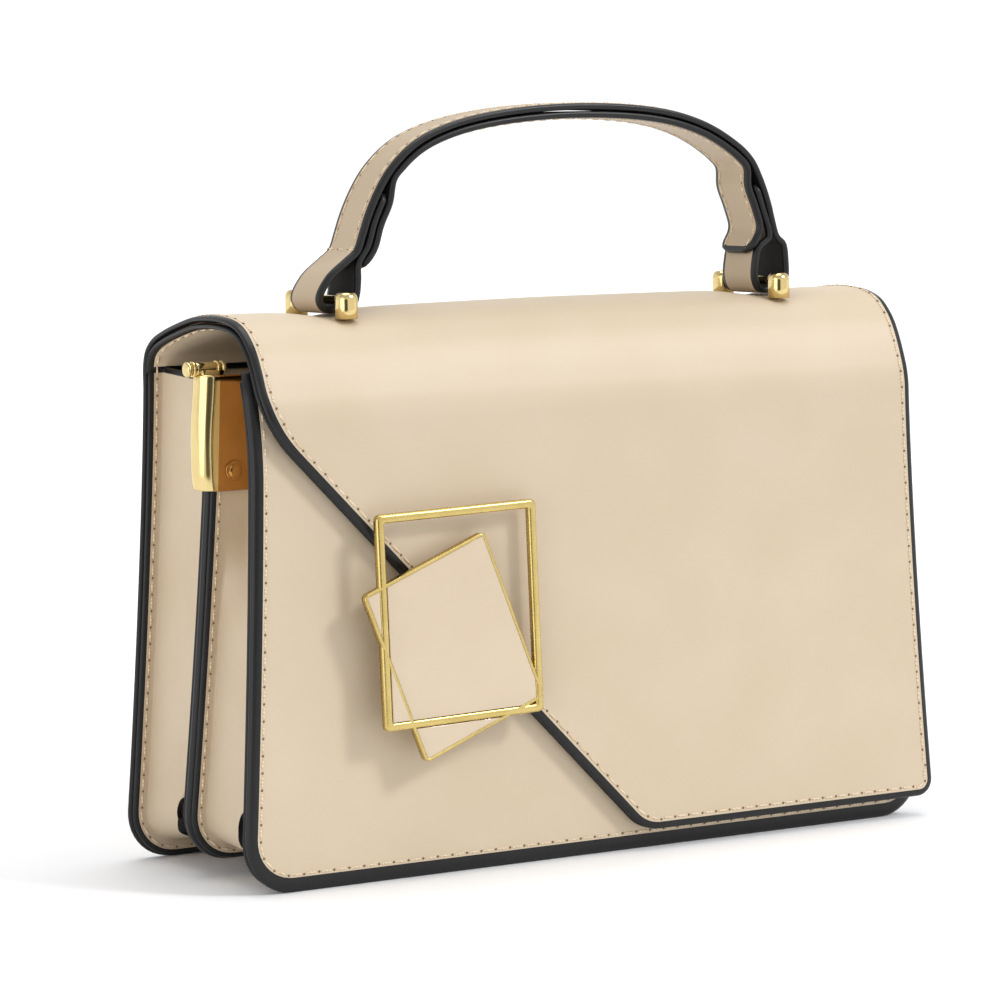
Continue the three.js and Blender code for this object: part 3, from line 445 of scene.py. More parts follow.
def flap_left(z, inset):
    """The flap's left edge: upright, then slanted, then round into the bottom edge."""
    upright = -(flap_half(z) - inset)
    slant = -FLAP_HALF + (SLANT_START - z) * SLANT_RUN + inset * math.hypot(1, SLANT_RUN)
    blend = np.maximum(0, 1 - np.abs(upright - slant) / SLANT_BLEND)
    edge = np.maximum(upright, slant) + SLANT_BLEND * blend ** 2 / 4
    angle = math.atan(1 / SLANT_RUN)
    radius, bottom = SLANT_CORNER - inset, FLAP_BOTTOM + inset
    sharp = -FLAP_HALF + (SLANT_START - bottom) * SLANT_RUN + inset * math.hypot(1, SLANT_RUN)
    rounded = sharp + radius * math.tan(angle / 2) - radius + corner_cut(z - bottom, radius)
    return np.where(z - bottom >= radius * (1 - math.cos(angle)), edge, rounded)


def flap_right(z, inset):
    return flap_half(z) - inset - corner_cut(z - FLAP_BOTTOM - inset, FLAP_CORNER - inset)


def profile(inset):
    """Rows of the outer face: y, z, left, right and depth over the top, from the back's foot."""
    low, radius = inset, PANEL_CORNER - inset
    back_z = np.concatenate([low + corner_heights(radius), np.linspace(low + radius, BACK_TOP, 28)[1:]])
    rows = [(BACK_REACH - BACK_LEAN * z, z, *((panel_half(z) - inset - corner_cut(z - low, radius))
             * np.array([-1, 1])), 0) for z in back_z]
    table = [(FLAP_FRONT + r["depth"] * crown_depth, r["height"] * BAG_HEIGHT) for r in crown_rows]
    guide = [(BACK_REACH - BACK_LEAN * GUIDE_START, GUIDE_START), *table,
             (FLAP_FRONT, CROWN_START), (FLAP_FRONT, CROWN_START - 4)]
    for y, z in smooth_line(guide, 5)[:-1]:
        depth = min(1, max(0, (y - FLAP_FRONT) / crown_depth))
        half = (1 - depth) * flap_half(z) + depth * panel_half(z)
        pulled = float(flap_left(z, inset)) + flap_half(z) - inset if depth < 0.5 else 0
        rows.append((y, z, pulled + inset - half, half - inset, depth if z > CROWN_START else 0))
    low = FLAP_BOTTOM + inset
    front_z = np.concatenate([np.linspace(CROWN_START - 5, low + 12, FRONT_STEPS),
                              low + corner_heights(11, FOOT_STEPS)[::-1]])
    rows += [(FLAP_FRONT, z, float(flap_left(z, inset)), float(flap_right(z, inset)), 0) for z in front_z]
    return np.array(rows)


def top_sag(x, depth):
    """The leather is pressed in beside the handle's mounts and swells between them."""
    away = (np.abs(x) - HANDLE_SPAN) / DIP_SPREAD
    swell = np.sqrt(np.maximum(0, 1 - np.abs(x) / HANDLE_SPAN))
    return np.sin(math.pi * depth) * (LUG_DIP * np.exp(-away ** 2) - CROWN_SWELL * swell)


print("crown depth in mm:", round(crown_depth, 1))

# %% Build the back and flap, and the lining under it
def flap_layer(name, under, thickness, paint, keep, materials):
    """A layer of leather that follows the profile at a depth under its outer face."""
    rows = profile(paint)
    y, z, left, right, depth = rows[keep(rows)].T
    line = np.stack([np.zeros_like(y), y, z], -1)
    along = directions(line)
    outward = np.stack([np.zeros_like(y), along[:, 2], -along[:, 1]], -1)
    line = line - outward * (under + thickness / 2)
    share = shares_across(61)
    x = left[:, None] + (right - left)[:, None] * (share + 1) / 2
    sag = top_sag(x, depth[:, None])
    middle = np.stack([x, np.repeat(line[:, 1:2], len(share), 1), line[:, 2:3] - sag], -1)
    return sheet_piece(name, middle, thickness, paint, materials)


def lining_rows(rows):
    place = np.arange(len(rows))
    return (rows[:, 1] > LINING_END) | (place > len(rows) // 2)


back_and_flap = flap_layer("back_and_flap_leather", 0, OUTER_LEATHER, PAINT,
                           lambda rows: np.ones(len(rows), bool), panel_skin)
finish_piece(back_and_flap, "leather", "back_and_flap")
flap_lining = flap_layer("flap_lining_leather", OUTER_LEATHER + CLEARANCE, LINING, PAINT - 0.1, lining_rows,
                         [lining_leather, edge_paint, lining_leather])
finish_piece(flap_lining, "leather_inside", "flap_lining")

# %% [markdown]
# ## Gussets
# A gusset is the bent wall between two panels. Its edges are turned outwards into flanges, which are
# glued and sewn to the panels, so seen from the side each compartment is a channel. The cross-section
# is a line with rounded bends that is carried round the bag. The rear wall has a faint crease, and
# the front one is tucked in at the top, where half of it lies flat on the divider.

# %% Helpers for the gussets' path and section
GUSSET_INSET, FLANGE, FLANGE_PAINT, BEND = 4.8, 4.3, 1.5, 1.2
REAR_TOP, FRONT_GUSSET_TOP = 135.5, 134
CREASE, TUCK, CREASE_BEND = 0.9, 8.5, 2.0
CLIP_TOP, CLIP_HEIGHT = 134.6, 30
FOLD_FADE, FOLD_BELOW_CLIP = 32, 9


def gusset_path(lift, top, side_steps=44, corner_steps=12, floor_steps=30):
    """The outer face of a wall, once round the bag: x, z and the outward direction."""
    radius, floor = PANEL_CORNER - GUSSET_INSET, lift + GUSSET_INSET
    side_z = np.linspace(top, floor + radius, side_steps)[:-1]
    side = [(-(panel_half(z) - GUSSET_INSET), z, -1.0, 0.0) for z in side_z]
    corner = []
    for angle in np.linspace(0, math.pi / 2, corner_steps):
        z = floor + radius * (1 - math.sin(angle))
        x = -(panel_half(z) - GUSSET_INSET - radius + radius * math.cos(angle))
        corner.append((x, z, -math.cos(angle), -math.sin(angle)))
    half = np.array(side + corner)
    floor_x = np.linspace(half[-1, 0], -half[-1, 0], floor_steps)[1:-1]
    bottom = np.array([(x, floor, 0.0, -1.0) for x in floor_x])
    return np.vstack([half, bottom, (half * np.array([-1, 1, -1, 1]))[::-1]])


def rounded_corners(corners, radii, steps=6):
    """A line through corners, where each inner corner is rounded to a radius as far as it fits."""
    made = [corners[0]]
    for before, corner, after, radius in zip(corners, corners[1:], corners[2:], radii):
        one, two = unit(before - corner), unit(after - corner)
        half_angle = math.acos(float(np.clip(one @ two, -1, 1))) / 2
        reach = radius / max(math.tan(half_angle), 0.05)
        reach = min(reach, 0.45 * np.linalg.norm(before - corner), 0.45 * np.linalg.norm(after - corner))
        start, end = corner + one * reach, corner + two * reach
        for t in np.linspace(0, 1, steps):
            made.append((1 - t) ** 2 * start + 2 * t * (1 - t) * corner + t ** 2 * end)
    made.append(corners[-1])
    return np.array(made)


def resampled(line, count):
    """A line with its points spread evenly along it."""
    gone = np.concatenate([[0], np.cumsum(np.linalg.norm(np.diff(line, axis=0), axis=1))])
    at = np.linspace(0, gone[-1], count)
    return np.stack([np.interp(at, gone, line[:, k]) for k in range(line.shape[1])], -1)


def gusset_piece(name, back_end, front_end, back_at, front_at, crease_at, columns=46):
    """A wall between two leaning faces. Each row is its section at one place on the path."""
    half, rim = GUSSET / 2, FLANGE_PAINT
    rows = []
    (back_lift, back_top), (front_lift, front_top) = back_end, front_end
    for b, f in zip(gusset_path(back_lift, back_top - rim), gusset_path(front_lift, front_top - rim)):
        def on_face(station, outward, face, lift):
            x, z, out_x, out_z = station
            point = np.array([x + out_x * outward, 0.0, z + out_z * outward])
            point[1] = face(point[2]) + lift
            return point

        crease_z = (b[1] + f[1]) / 2
        depth, y = crease_at(crease_z, back_at(crease_z), front_at(crease_z))
        folded = (on_face(b, -depth - half, back_at, 0) + on_face(f, -depth - half, front_at, 0)) / 2
        folded[1] = y
        corners = [
            on_face(b, FLANGE - rim, back_at, -half), on_face(b, -half, back_at, -half), folded,
            on_face(f, -half, front_at, half), on_face(f, FLANGE - rim, front_at, half),
        ]
        rows.append(resampled(rounded_corners(corners, (BEND, CREASE_BEND, BEND)), columns))
    middle = np.array(rows)
    return sheet_piece(name, middle[:, ::-1], GUSSET, rim, [lining_leather, edge_paint, gusset_leather])

# %% Build both gussets
def back_face(z):
    return BACK_REACH - BACK_LEAN * z - OUTER_LEATHER - CLEARANCE


def divider_face(z, side):
    return DIVIDER_SEAT - DIVIDER_LEAN * z + side * (DIVIDER_LEATHER / 2 + CLEARANCE)


def tucked(z, y_back, y_front):
    """The crease of the front gusset: shallow below, folded back against the divider above."""
    foot = CLIP_TOP - CLIP_HEIGHT - FOLD_BELOW_CLIP
    t = np.clip((z - foot + FOLD_FADE) / FOLD_FADE, 0, 1)
    share = t * t * (3 - 2 * t)
    flat = y_back - GUSSET / 2 - 0.15
    return CREASE + share * (TUCK - CREASE), (1 - share) * (y_back + y_front) / 2 + share * flat


rear_gusset = gusset_piece("rear_gusset_leather", (0, REAR_TOP), (DIVIDER_LIFT, DIVIDER_TOP),
                           back_face, lambda z: divider_face(z, 1), lambda z, yb, yf: (CREASE, (yb + yf) / 2))
front_gusset = gusset_piece(
    "front_gusset_leather", (DIVIDER_LIFT, DIVIDER_TOP), (0, FRONT_GUSSET_TOP),
    lambda z: divider_face(z, -1), lambda z: front_face(z) + PANEL_LEATHER + CLEARANCE, tucked)
print("gussets:", len(rear_gusset.data.polygons), len(front_gusset.data.polygons), "faces")

# %% [markdown]
# ## Slots in the gussets' corners
# At the bottom corners a slot frees the wall from its front flange, so that the leather can bend. The
# slot is cut with a Boolean, and the cut faces take the paint of the cutter, as the painted edge of
# the real slot does.

# %% Cut the slots
SLOT_WIDTH, SLOT_SPREAD, REAR_SLOT_TOP, FRONT_SLOT_TOP, SLOT_FOOT = 11, 4.5, 20, 21, 6


def slot_cutter(y_start, lift, height, side):
    """A block with a round top that gets wider down the bend and reaches through one bottom corner."""
    radius = SLOT_WIDTH / 2
    angles = np.linspace(0, math.pi, 17)
    outline = [(y_start, lift - SLOT_FOOT)] + [(y_start + radius - radius * math.cos(a), height - radius
                                         + radius * math.sin(a)) for a in angles]
    floor = lift + GUSSET_INSET
    start = height - radius - floor - 1
    for above in np.linspace(start, 0, 8):
        spread = SLOT_SPREAD * (1 - above / start)
        outline.append((y_start + SLOT_WIDTH + spread, floor + above))
    outline.append((y_start + SLOT_WIDTH + SLOT_SPREAD, lift - SLOT_FOOT))
    near = PANEL_HALF + PANEL_FLARE - PANEL_CORNER - GUSSET_INSET
    far = near + 2 * PANEL_CORNER + GUSSET_INSET
    count = len(outline)
    points = [(side * x, y, z) for x in (near, far) for y, z in outline]
    faces = [(i, (i + 1) % count, (i + 1) % count + count, i + count) for i in range(count)]
    faces += [tuple(range(count))[::-1], tuple(range(count, 2 * count))]
    if side > 0:
        faces = [f[::-1] for f in faces]
    return new_piece("slot_cutter", points, faces, [edge_paint], smooth=False)


def cut_away(piece, cutters):
    """Takes the cutters out of a piece and leaves a plain mesh with the cutters' paint on the cut."""
    for cutter in cutters:
        modifier = piece.modifiers.new("cut", "BOOLEAN")
        modifier.object, modifier.operation, modifier.solver = cutter, "DIFFERENCE", "EXACT"
        modifier.material_mode = "TRANSFER"
    graph = bpy.context.evaluated_depsgraph_get()
    cut = bpy.data.meshes.new_from_object(piece.evaluated_get(graph))
    piece.modifiers.clear()
    piece.data = cut
    for cutter in cutters:
        bpy.data.objects.remove(cutter)


rear_slot = divider_face(0, 1) + GUSSET + CLEARANCE
front_slot = -FRONT_REACH + PANEL_LEATHER + CLEARANCE + GUSSET + CLEARANCE
cut_away(rear_gusset, [slot_cutter(rear_slot, DIVIDER_LIFT, REAR_SLOT_TOP, side) for side in (-1, 1)])
cut_away(front_gusset, [slot_cutter(front_slot, 0, FRONT_SLOT_TOP, side) for side in (-1, 1)])
finish_piece(rear_gusset, "leather", "rear_gusset")
finish_piece(front_gusset, "leather", "front_gusset")

# %% [markdown]
# ## Handle
# The handle is one long strap. It comes over the arch, goes down the outside of each leg, turns round
# a metal bar in a teardrop loop and comes back up inside the leg. A shorter lining strap covers the
# returned ends and shows inside the arch, where it ends in a rounded tab.

# %% The handle's lines
STRAP_WIDTH, STRAP, STRAP_PAINT, STRAP_ROUND = 16, 1.9, 1.6, 0.6
HANDLE_RISE, HANDLE_SWAY, BAR_RISE = 54.5, 6, 3
LOOP_HALF, NECK_RISE, RETURN_END, RETURN_STEP = 5.4, 12, 30, 4
HANDLE_FOOT = BAG_HEIGHT - CROWN_SWELL
BAR_HEIGHT = BAG_HEIGHT + BAR_RISE
NECK_HEIGHT = BAR_HEIGHT + NECK_RISE
handle_rows = [
    {"rise": 0.245, "half": 1.022, "sway": 0.87}, {"rise": 0.33, "half": 0.978, "sway": 0.96},
    {"rise": 0.42, "half": 0.958, "sway": 1.0}, {"rise": 0.585, "half": 0.905, "sway": 1.09},
    {"rise": 0.715, "half": 0.840, "sway": 1.17}, {"rise": 0.833, "half": 0.722, "sway": 1.1},
    {"rise": 0.914, "half": 0.576, "sway": 1.17}, {"rise": 0.972, "half": 0.363, "sway": 1.37},
    {"rise": 1.0, "half": 0.0, "sway": 1.4},
]
loop_rows = [
    {"out": 0.20, "up": 0.833, "sway": 0.88}, {"out": 0.78, "up": 0.467, "sway": 0.48},
    {"out": 1.05, "up": 0.02, "sway": 0.22}, {"out": 0.80, "up": -0.185, "sway": 0.24},
    {"out": 0.08, "up": -0.23, "sway": 0.25}, {"out": -0.67, "up": -0.185, "sway": 0.27},
    {"out": -0.94, "up": 0.05, "sway": 0.28}, {"out": -0.98, "up": 0.417, "sway": 0.35},
    {"out": -0.89, "up": 0.767, "sway": 0.47},
]
tab_row = {"out": -1.296, "up": 0.767, "sway": 0.47}


def arch_point(row, side):
    x = side * row["half"] * HANDLE_SPAN + row["sway"] * HANDLE_SWAY
    return (x, HANDLE_FOOT + row["rise"] * HANDLE_RISE)


def loop_point(row, side):
    x = side * (HANDLE_SPAN + row["out"] * LOOP_HALF) + row["sway"] * HANDLE_SWAY
    return (x, BAR_HEIGHT + row["up"] * NECK_RISE)


left_leg = [arch_point(row, -1) for row in handle_rows]
right_leg = [arch_point(row, 1) for row in handle_rows[:-1]][::-1]
arch = resampled(smooth_line(left_leg + right_leg, 10), 160)


def arch_layer(depth):
    """Points at a depth under the arch's outer face."""
    along = directions(arch)
    return arch + np.stack([along[:, 1], -along[:, 0]], -1) * depth


first_layer = arch_layer(STRAP / 2)
second_layer = arch_layer(1.5 * STRAP + CLEARANCE)
third_layer = arch_layer(2.5 * STRAP + 2 * CLEARANCE)
return_top = HANDLE_FOOT + RETURN_END


def between(line, low, high, side=0):
    keep = (line[:, 1] > low) & (line[:, 1] < high) & ((line[:, 0] * side > 0) | (side == 0))
    return line[keep]


strap_line = np.vstack([
    between(second_layer, NECK_HEIGHT, return_top, -1)[::-1][::6],
    [loop_point(row, -1) for row in loop_rows[::-1]],
    between(first_layer, NECK_HEIGHT, 999)[::4],
    [loop_point(row, 1) for row in loop_rows],
    between(second_layer, NECK_HEIGHT, return_top, 1)[::-1][::6],
])
covered_top = return_top + 2 * CLEARANCE
lining_line = np.vstack([
    [loop_point(tab_row, -1)], between(third_layer, NECK_HEIGHT, covered_top, -1)[::6],
    between(second_layer, covered_top + RETURN_STEP, 999)[::4],
    between(third_layer, NECK_HEIGHT, covered_top, 1)[::6], [loop_point(tab_row, 1)],
])
print("strap's line has", len(strap_line), "points and the lining's", len(lining_line))

# %% Build the strap and its lining
STRAP_STEPS, STRAP_END, LINING_STEPS, TAB_END = 420, 0.5, 260, 2.2


def strap_piece(name, line, count, end_radius, materials):
    """A flat strap along a line in the XZ plane, with painted edges and rounded ends."""
    line = resampled(smooth_line(line, 8), count)
    line = np.stack([line[:, 0], np.zeros(count), line[:, 1]], -1)
    gone = np.concatenate([[0], np.cumsum(np.linalg.norm(np.diff(line, axis=0), axis=1))])
    from_end = np.minimum(gone, gone[-1] - gone)
    half = STRAP_WIDTH / 2 - STRAP_PAINT - corner_cut(from_end, end_radius)
    share = np.linspace(-1, 1, 13)
    middle = np.repeat(line[:, None, :], len(share), 1)
    middle[:, :, 1] = half[:, None] * share
    return sheet_piece(name, middle, STRAP, STRAP_PAINT, materials, 8, STRAP_ROUND), line


handle_leather = corrected_grain_leather("Calf leather, handle", "#B4A187", "#AF9C81", 0.42, 0.22, 0.44)
handle_skin = [handle_leather, edge_paint, backing_leather]
handle_strap, strap_path = strap_piece("handle_strap_leather", strap_line, STRAP_STEPS, STRAP_END,
                                       handle_skin)
finish_piece(handle_strap, "leather", "handle_strap")
handle_lining, lining_path = strap_piece("handle_lining_leather", lining_line, LINING_STEPS, TAB_END,
                                         [backing_leather, edge_paint, handle_leather])
finish_piece(handle_lining, "leather_inside", "handle_lining")

# %% [markdown]
# ## Stitches
# A lockstitch seam is the same short thread and needle hole over and over, so Geometry Nodes lay it
# along a line. The line carries the leather's outward direction, and each stitch is turned by the
# line's own direction and by that one. The tree ends in Realize Instances, so that the result is a
# plain mesh.

# %% The stitch tree
STITCH_PITCH, STITCH_LENGTH, THREAD_WIDTH, HOLE_WIDTH = 4.5, 3.3, 0.62, 0.75


def stitch_tree():
    tree = bpy.data.node_groups.new("Lockstitch", "GeometryNodeTree")
    face = tree.interface
    face.new_socket("Geometry", in_out="INPUT", socket_type="NodeSocketGeometry")
    for name, value in (("Pitch", STITCH_PITCH), ("Stitch length", STITCH_LENGTH),
                        ("Thread width", THREAD_WIDTH), ("Hole width", HOLE_WIDTH)):
        socket = face.new_socket(name, in_out="INPUT", socket_type="NodeSocketFloat")
        socket.default_value = value * METRE
    face.new_socket("Geometry", in_out="OUTPUT", socket_type="NodeSocketGeometry")
    given = add_node(tree, "NodeGroupInput").outputs
    curve = add_node(tree, "GeometryNodeMeshToCurve", links={"Mesh": given["Geometry"]})
    steps = add_node(tree, "GeometryNodeResampleCurve", {"mode": "LENGTH"},
                     links={"Curve": curve.outputs["Curve"], "Length": given["Pitch"]})
    along = add_node(tree, "GeometryNodeInputTangent")
    up = add_node(tree, "GeometryNodeInputNamedAttribute", {"data_type": "FLOAT_VECTOR"}, {"Name": "up"})
    turn = add_node(tree, "FunctionNodeAxesToRotation", {"primary_axis": "Z", "secondary_axis": "X"},
                    links={"Primary Axis": up.outputs["Attribute"],
                           "Secondary Axis": along.outputs["Tangent"]})
    ball = add_node(tree, "GeometryNodeMeshUVSphere", values={"Segments": 8, "Rings": 6, "Radius": 0.5})
    shape = add_node(tree, "ShaderNodeCombineXYZ",
                     links={"X": given["Stitch length"], "Y": given["Thread width"],
                            "Z": given["Thread width"]})
    stitch = add_node(tree, "GeometryNodeTransform",
                      links={"Geometry": ball.outputs["Mesh"], "Scale": shape.outputs["Vector"]})
    thread_set = add_node(tree, "GeometryNodeSetMaterial", values={"Material": thread},
                          links={"Geometry": stitch.outputs["Geometry"]})
    dot = add_node(tree, "GeometryNodeMeshUVSphere", values={"Segments": 8, "Rings": 4, "Radius": 0.5})
    flat = add_node(tree, "ShaderNodeMath", {"operation": "MULTIPLY"}, {1: 0.35}, {0: given["Hole width"]})
    dot_shape = add_node(tree, "ShaderNodeCombineXYZ",
                         links={"X": given["Hole width"], "Y": given["Hole width"],
                                "Z": flat.outputs["Value"]})
    half_pitch = add_node(tree, "ShaderNodeMath", {"operation": "MULTIPLY"}, {1: 0.5}, {0: given["Pitch"]})
    aside = add_node(tree, "ShaderNodeCombineXYZ", links={"X": half_pitch.outputs["Value"]})
    hole = add_node(tree, "GeometryNodeTransform",
                    links={"Geometry": dot.outputs["Mesh"], "Translation": aside.outputs["Vector"],
                           "Scale": dot_shape.outputs["Vector"]})
    hole_set = add_node(tree, "GeometryNodeSetMaterial", values={"Material": hole_shade},
                        links={"Geometry": hole.outputs["Geometry"]})
    both = add_node(tree, "GeometryNodeJoinGeometry")
    tree.links.new(thread_set.outputs["Geometry"], both.inputs["Geometry"])
    tree.links.new(hole_set.outputs["Geometry"], both.inputs["Geometry"])
    placed = add_node(tree, "GeometryNodeInstanceOnPoints",
                      links={"Points": steps.outputs["Curve"], "Instance": both.outputs["Geometry"],
                             "Rotation": turn.outputs["Rotation"]})
    solid = add_node(tree, "GeometryNodeRealizeInstances", links={"Geometry": placed.outputs["Instances"]})
    smooth = add_node(tree, "GeometryNodeSetShadeSmooth", links={"Geometry": solid.outputs["Geometry"]})
    add_node(tree, "NodeGroupOutput", links={"Geometry": smooth.outputs["Geometry"]})
    return tree


lockstitch = stitch_tree()
print("the tree's inputs:", [item.name for item in lockstitch.interface.items_tree])

# %% Sew along lines
def sewn(name, seams, slot, **sizes):
    """Stitches along seams. A seam is a row of surface points and the outward directions there."""
    points, edges, ups = [], [], []
    for line, up in seams:
        start = len(points)
        points += (np.asarray(line) * METRE + np.array(drawing_shift)).tolist()
        ups += np.asarray(up, float).tolist()
        edges += [(start + i, start + i + 1) for i in range(len(line) - 1)]
    mesh = bpy.data.meshes.new(name)
    mesh.from_pydata(points, edges, [])
    attribute = mesh.attributes.new("up", "FLOAT_VECTOR", "POINT")
    attribute.data.foreach_set("vector", np.array(ups, np.float32).ravel())
    rail = bpy.data.objects.new(name + "_rail", mesh)
    bpy.context.scene.collection.objects.link(rail)
    modifier = rail.modifiers.new("sew", "NODES")
    modifier.node_group = lockstitch
    for item in lockstitch.interface.items_tree:
        if item.in_out == "INPUT" and item.name in sizes:
            modifier[item.identifier] = sizes[item.name] * METRE
    graph = bpy.context.evaluated_depsgraph_get()
    made = bpy.data.meshes.new_from_object(rail.evaluated_get(graph))
    bpy.data.objects.remove(rail)
    piece = bpy.data.objects.new(name, made)
    bpy.context.scene.collection.objects.link(piece)
    return finish_piece(piece, slot)


SEAM_SINK = 0.05
seam_in = PAINT + 1.0


def with_up(line, up):
    """A seam on a flat face, whose outward direction is the same all along."""
    return np.asarray(line, float), np.tile(np.array(up, float), (len(line), 1))


def front_panel_seam():
    inset = PANEL_PAINT + 0.8
    low, radius = PANEL_FOOT + 0.8, PANEL_CORNER - inset
    z = np.concatenate([low + corner_heights(radius, 10), np.linspace(low + radius, FRONT_TOP - 3, 20)[1:]])
    half = panel_half(z) - inset - corner_cut(z - low, radius)
    left = np.stack([-half, z], -1)[::-1]
    right = np.stack([half, z], -1)
    flat = np.vstack([left, right])
    return with_up([(x, front_face(h) - SEAM_SINK, h) for x, h in flat], (0, -1, 0))


def surface_seam(piece_rows, side_x, lift):
    """A seam on the flap's outer face or under its lining, from rows of y, z and a depth."""
    y, z, depth = piece_rows
    line = np.stack([np.zeros_like(y), y, z], -1)
    along = directions(line)
    outward = np.stack([np.zeros_like(y), along[:, 2], -along[:, 1]], -1)
    line = line + outward * lift
    line[:, 0] = side_x
    line[:, 2] -= top_sag(line[:, 0], depth)
    return line, outward * np.sign(lift if lift else 1)


flap_rows = profile(seam_in)
flap_order, front_from = np.arange(len(flap_rows)), len(flap_rows) - FRONT_STEPS - FOOT_STEPS
front_rows = flap_rows[front_from:]
over_rows = flap_rows[(flap_order > BACK_STEPS) & (flap_order <= front_from)]
left_front = np.stack([front_rows[:, 2], front_rows[:, 0], front_rows[:, 1]], -1)
right_front = np.stack([front_rows[:, 3], front_rows[:, 0], front_rows[:, 1]], -1)
flap_edge = np.vstack([left_front, right_front[::-1]]) + np.array([0, -SEAM_SINK, 0])
over_place = (over_rows[:, 0], over_rows[:, 1], over_rows[:, 4])
over_left, up_left = surface_seam(over_place, over_rows[:, 2], SEAM_SINK)
over_right, up_right = surface_seam(over_place, over_rows[:, 3], SEAM_SINK)
front_up = np.tile((0.0, -1.0, 0.0), (len(flap_edge), 1))
flap_seam = (np.vstack([over_left, flap_edge, over_right[::-1]]),
             np.vstack([up_left, front_up, up_right[::-1]]))
crown_rows_only = (over_rows[:, 1] > LINING_END + 2) & (over_rows[:, 4] > 0.02)
lining_at = over_rows[crown_rows_only]
under_lift = -(OUTER_LEATHER + CLEARANCE + LINING + SEAM_SINK)
lining_seams = [surface_seam((lining_at[:, 0], lining_at[:, 1], lining_at[:, 4]), lining_at[:, k], under_lift)
                for k in (2, 3)]
sewn("stitches_lining", lining_seams, "leather_inside")
sewn("stitches_front_panel", [front_panel_seam()], "leather")
sewn("stitches_flap", [flap_seam], "leather")

# %% [markdown]
# ## Stitches on the back, the gussets and the handle
# The same tree sews the other seams. The back's seam follows its round corners, the gussets' seams
# run on the flanges that face the viewer, and the handle has one seam along each edge.

# %% Sew the back, the gussets and the handle
def back_seam():
    low, radius = seam_in, PANEL_CORNER - seam_in
    z = np.concatenate([low + corner_heights(radius, 10), np.linspace(low + radius, 127, 20)[1:]])
    half = panel_half(z) - seam_in - corner_cut(z - low, radius)
    flat = np.vstack([np.stack([-half, z], -1)[::-1], np.stack([half, z], -1)])
    line = [(x, BACK_REACH - BACK_LEAN * h + SEAM_SINK, h) for x, h in flat]
    return with_up(line, (0, 1, BACK_LEAN))


flange_middle = FLANGE - FLANGE_PAINT - 0.9
DIVIDER_SEAM_TOP = 103


def flange_seam(end, face_at):
    """A seam along the middle of a gusset's flange, on the face that looks forward."""
    line = []
    for x, z, out_x, out_z in gusset_path(*end):
        px, pz = x + out_x * flange_middle, z + out_z * flange_middle
        line.append((px, face_at(pz) - GUSSET - SEAM_SINK, pz))
    return with_up(line, (0, -1, 0))


rear_seam = flange_seam((0, REAR_TOP - 1), back_face)
divider_seam = flange_seam((DIVIDER_LIFT, DIVIDER_SEAM_TOP), lambda z: divider_face(z, -1))
sewn("stitches_back", [back_seam()], "leather")
sewn("stitches_gussets", [rear_seam, divider_seam], "leather", **{"Thread width": 0.55, "Hole width": 0.6})


def handle_seams(path, keep, lift, inset):
    """Two seams along a strap, one near each edge, on its outer face or its inner one."""
    along = directions(path)
    outward = np.stack([-along[:, 2], np.zeros(len(path)), along[:, 0]], -1)
    line = (path + outward * lift)[keep]
    up = outward[keep] * np.sign(lift)
    seams = []
    for side in (-1, 1):
        shifted = line.copy()
        shifted[:, 1] = side * (STRAP_WIDTH / 2 - inset)
        seams.append((shifted, up))
    return seams


strap_order = np.arange(len(strap_path))
top_at = int(np.argmax(strap_path[:, 2]))
over_neck = strap_path[:, 2] > NECK_HEIGHT
feet = [i for i in strap_order[1:] if over_neck[i] != over_neck[i - 1]]
first, last = max(i for i in feet if i < top_at), min(i for i in feet if i > top_at)
on_arch = (strap_order >= first) & (strap_order < last)
inside = lining_path[:, 2] > NECK_HEIGHT - 2
seam_lift = STRAP / 2 + SEAM_SINK
HANDLE_SEAM = 2.6
handle_lines = handle_seams(strap_path, on_arch, seam_lift, HANDLE_SEAM)
handle_lines += handle_seams(lining_path, inside, -seam_lift, HANDLE_SEAM)
cross_y = np.linspace(-1, 1, 7) * (STRAP_WIDTH / 2 - HANDLE_SEAM)
for end in (first, last - 1):
    along = directions(strap_path)[end]
    outward = np.array([-along[2], 0, along[0]])
    point = strap_path[end] + outward * seam_lift
    handle_lines.append(with_up([(point[0], y, point[2]) for y in cross_y], outward))
sewn("stitches_handle", handle_lines, "leather", Pitch=3.9, **{"Stitch length": 2.9, "Thread width": 0.5,
                                                               "Hole width": 0.5})

# %% [markdown]
# ## Metal and enamel
# The fittings are cast zinc alloy with a pale gold plating. The clips and lugs are polished, so they
# show sharp reflections with faint ripples. The clasp's faces are brushed, which spreads the highlight
# along the strokes. The plate's fields hold a poured cream enamel: glassy, level and slightly domed.

# %% Gold and enamel materials
def gold_plating(name, colour, deeper, roughness, ripple_mm, bump, stretch=(1, 1, 1)):
    material, tree, shader = new_material(name, Metallic=1.0, Roughness=roughness)
    patch = object_noise(tree, 1 / (6 * METRE), 2.0)
    two_tones(tree, shader, patch.outputs["Fac"], colour, deeper)
    ripple = object_noise(tree, 1 / (ripple_mm * METRE), 2.0, stretch=stretch)
    relief(tree, shader, ripple.outputs["Fac"], strength=bump, depth_mm=0.05)
    worn = add_node(tree, "ShaderNodeMapRange", values={"To Min": 0.7 * roughness, "To Max": 1.4 * roughness},
                    links={"Value": ripple.outputs["Fac"]})
    tree.links.new(worn.outputs["Result"], shader.inputs["Roughness"])
    return material


def poured_enamel():
    material, tree, shader = new_material("Poured enamel, cream", Roughness=0.1, IOR=1.55)
    shader.inputs["Coat Weight"].default_value = 0.6
    shader.inputs["Coat Roughness"].default_value = 0.05
    cloud = object_noise(tree, 1 / (9 * METRE), 2.0)
    two_tones(tree, shader, cloud.outputs["Fac"], "#CBB99F", "#C7B499")
    relief(tree, shader, cloud.outputs["Fac"], strength=0.05, depth_mm=0.2)
    return material


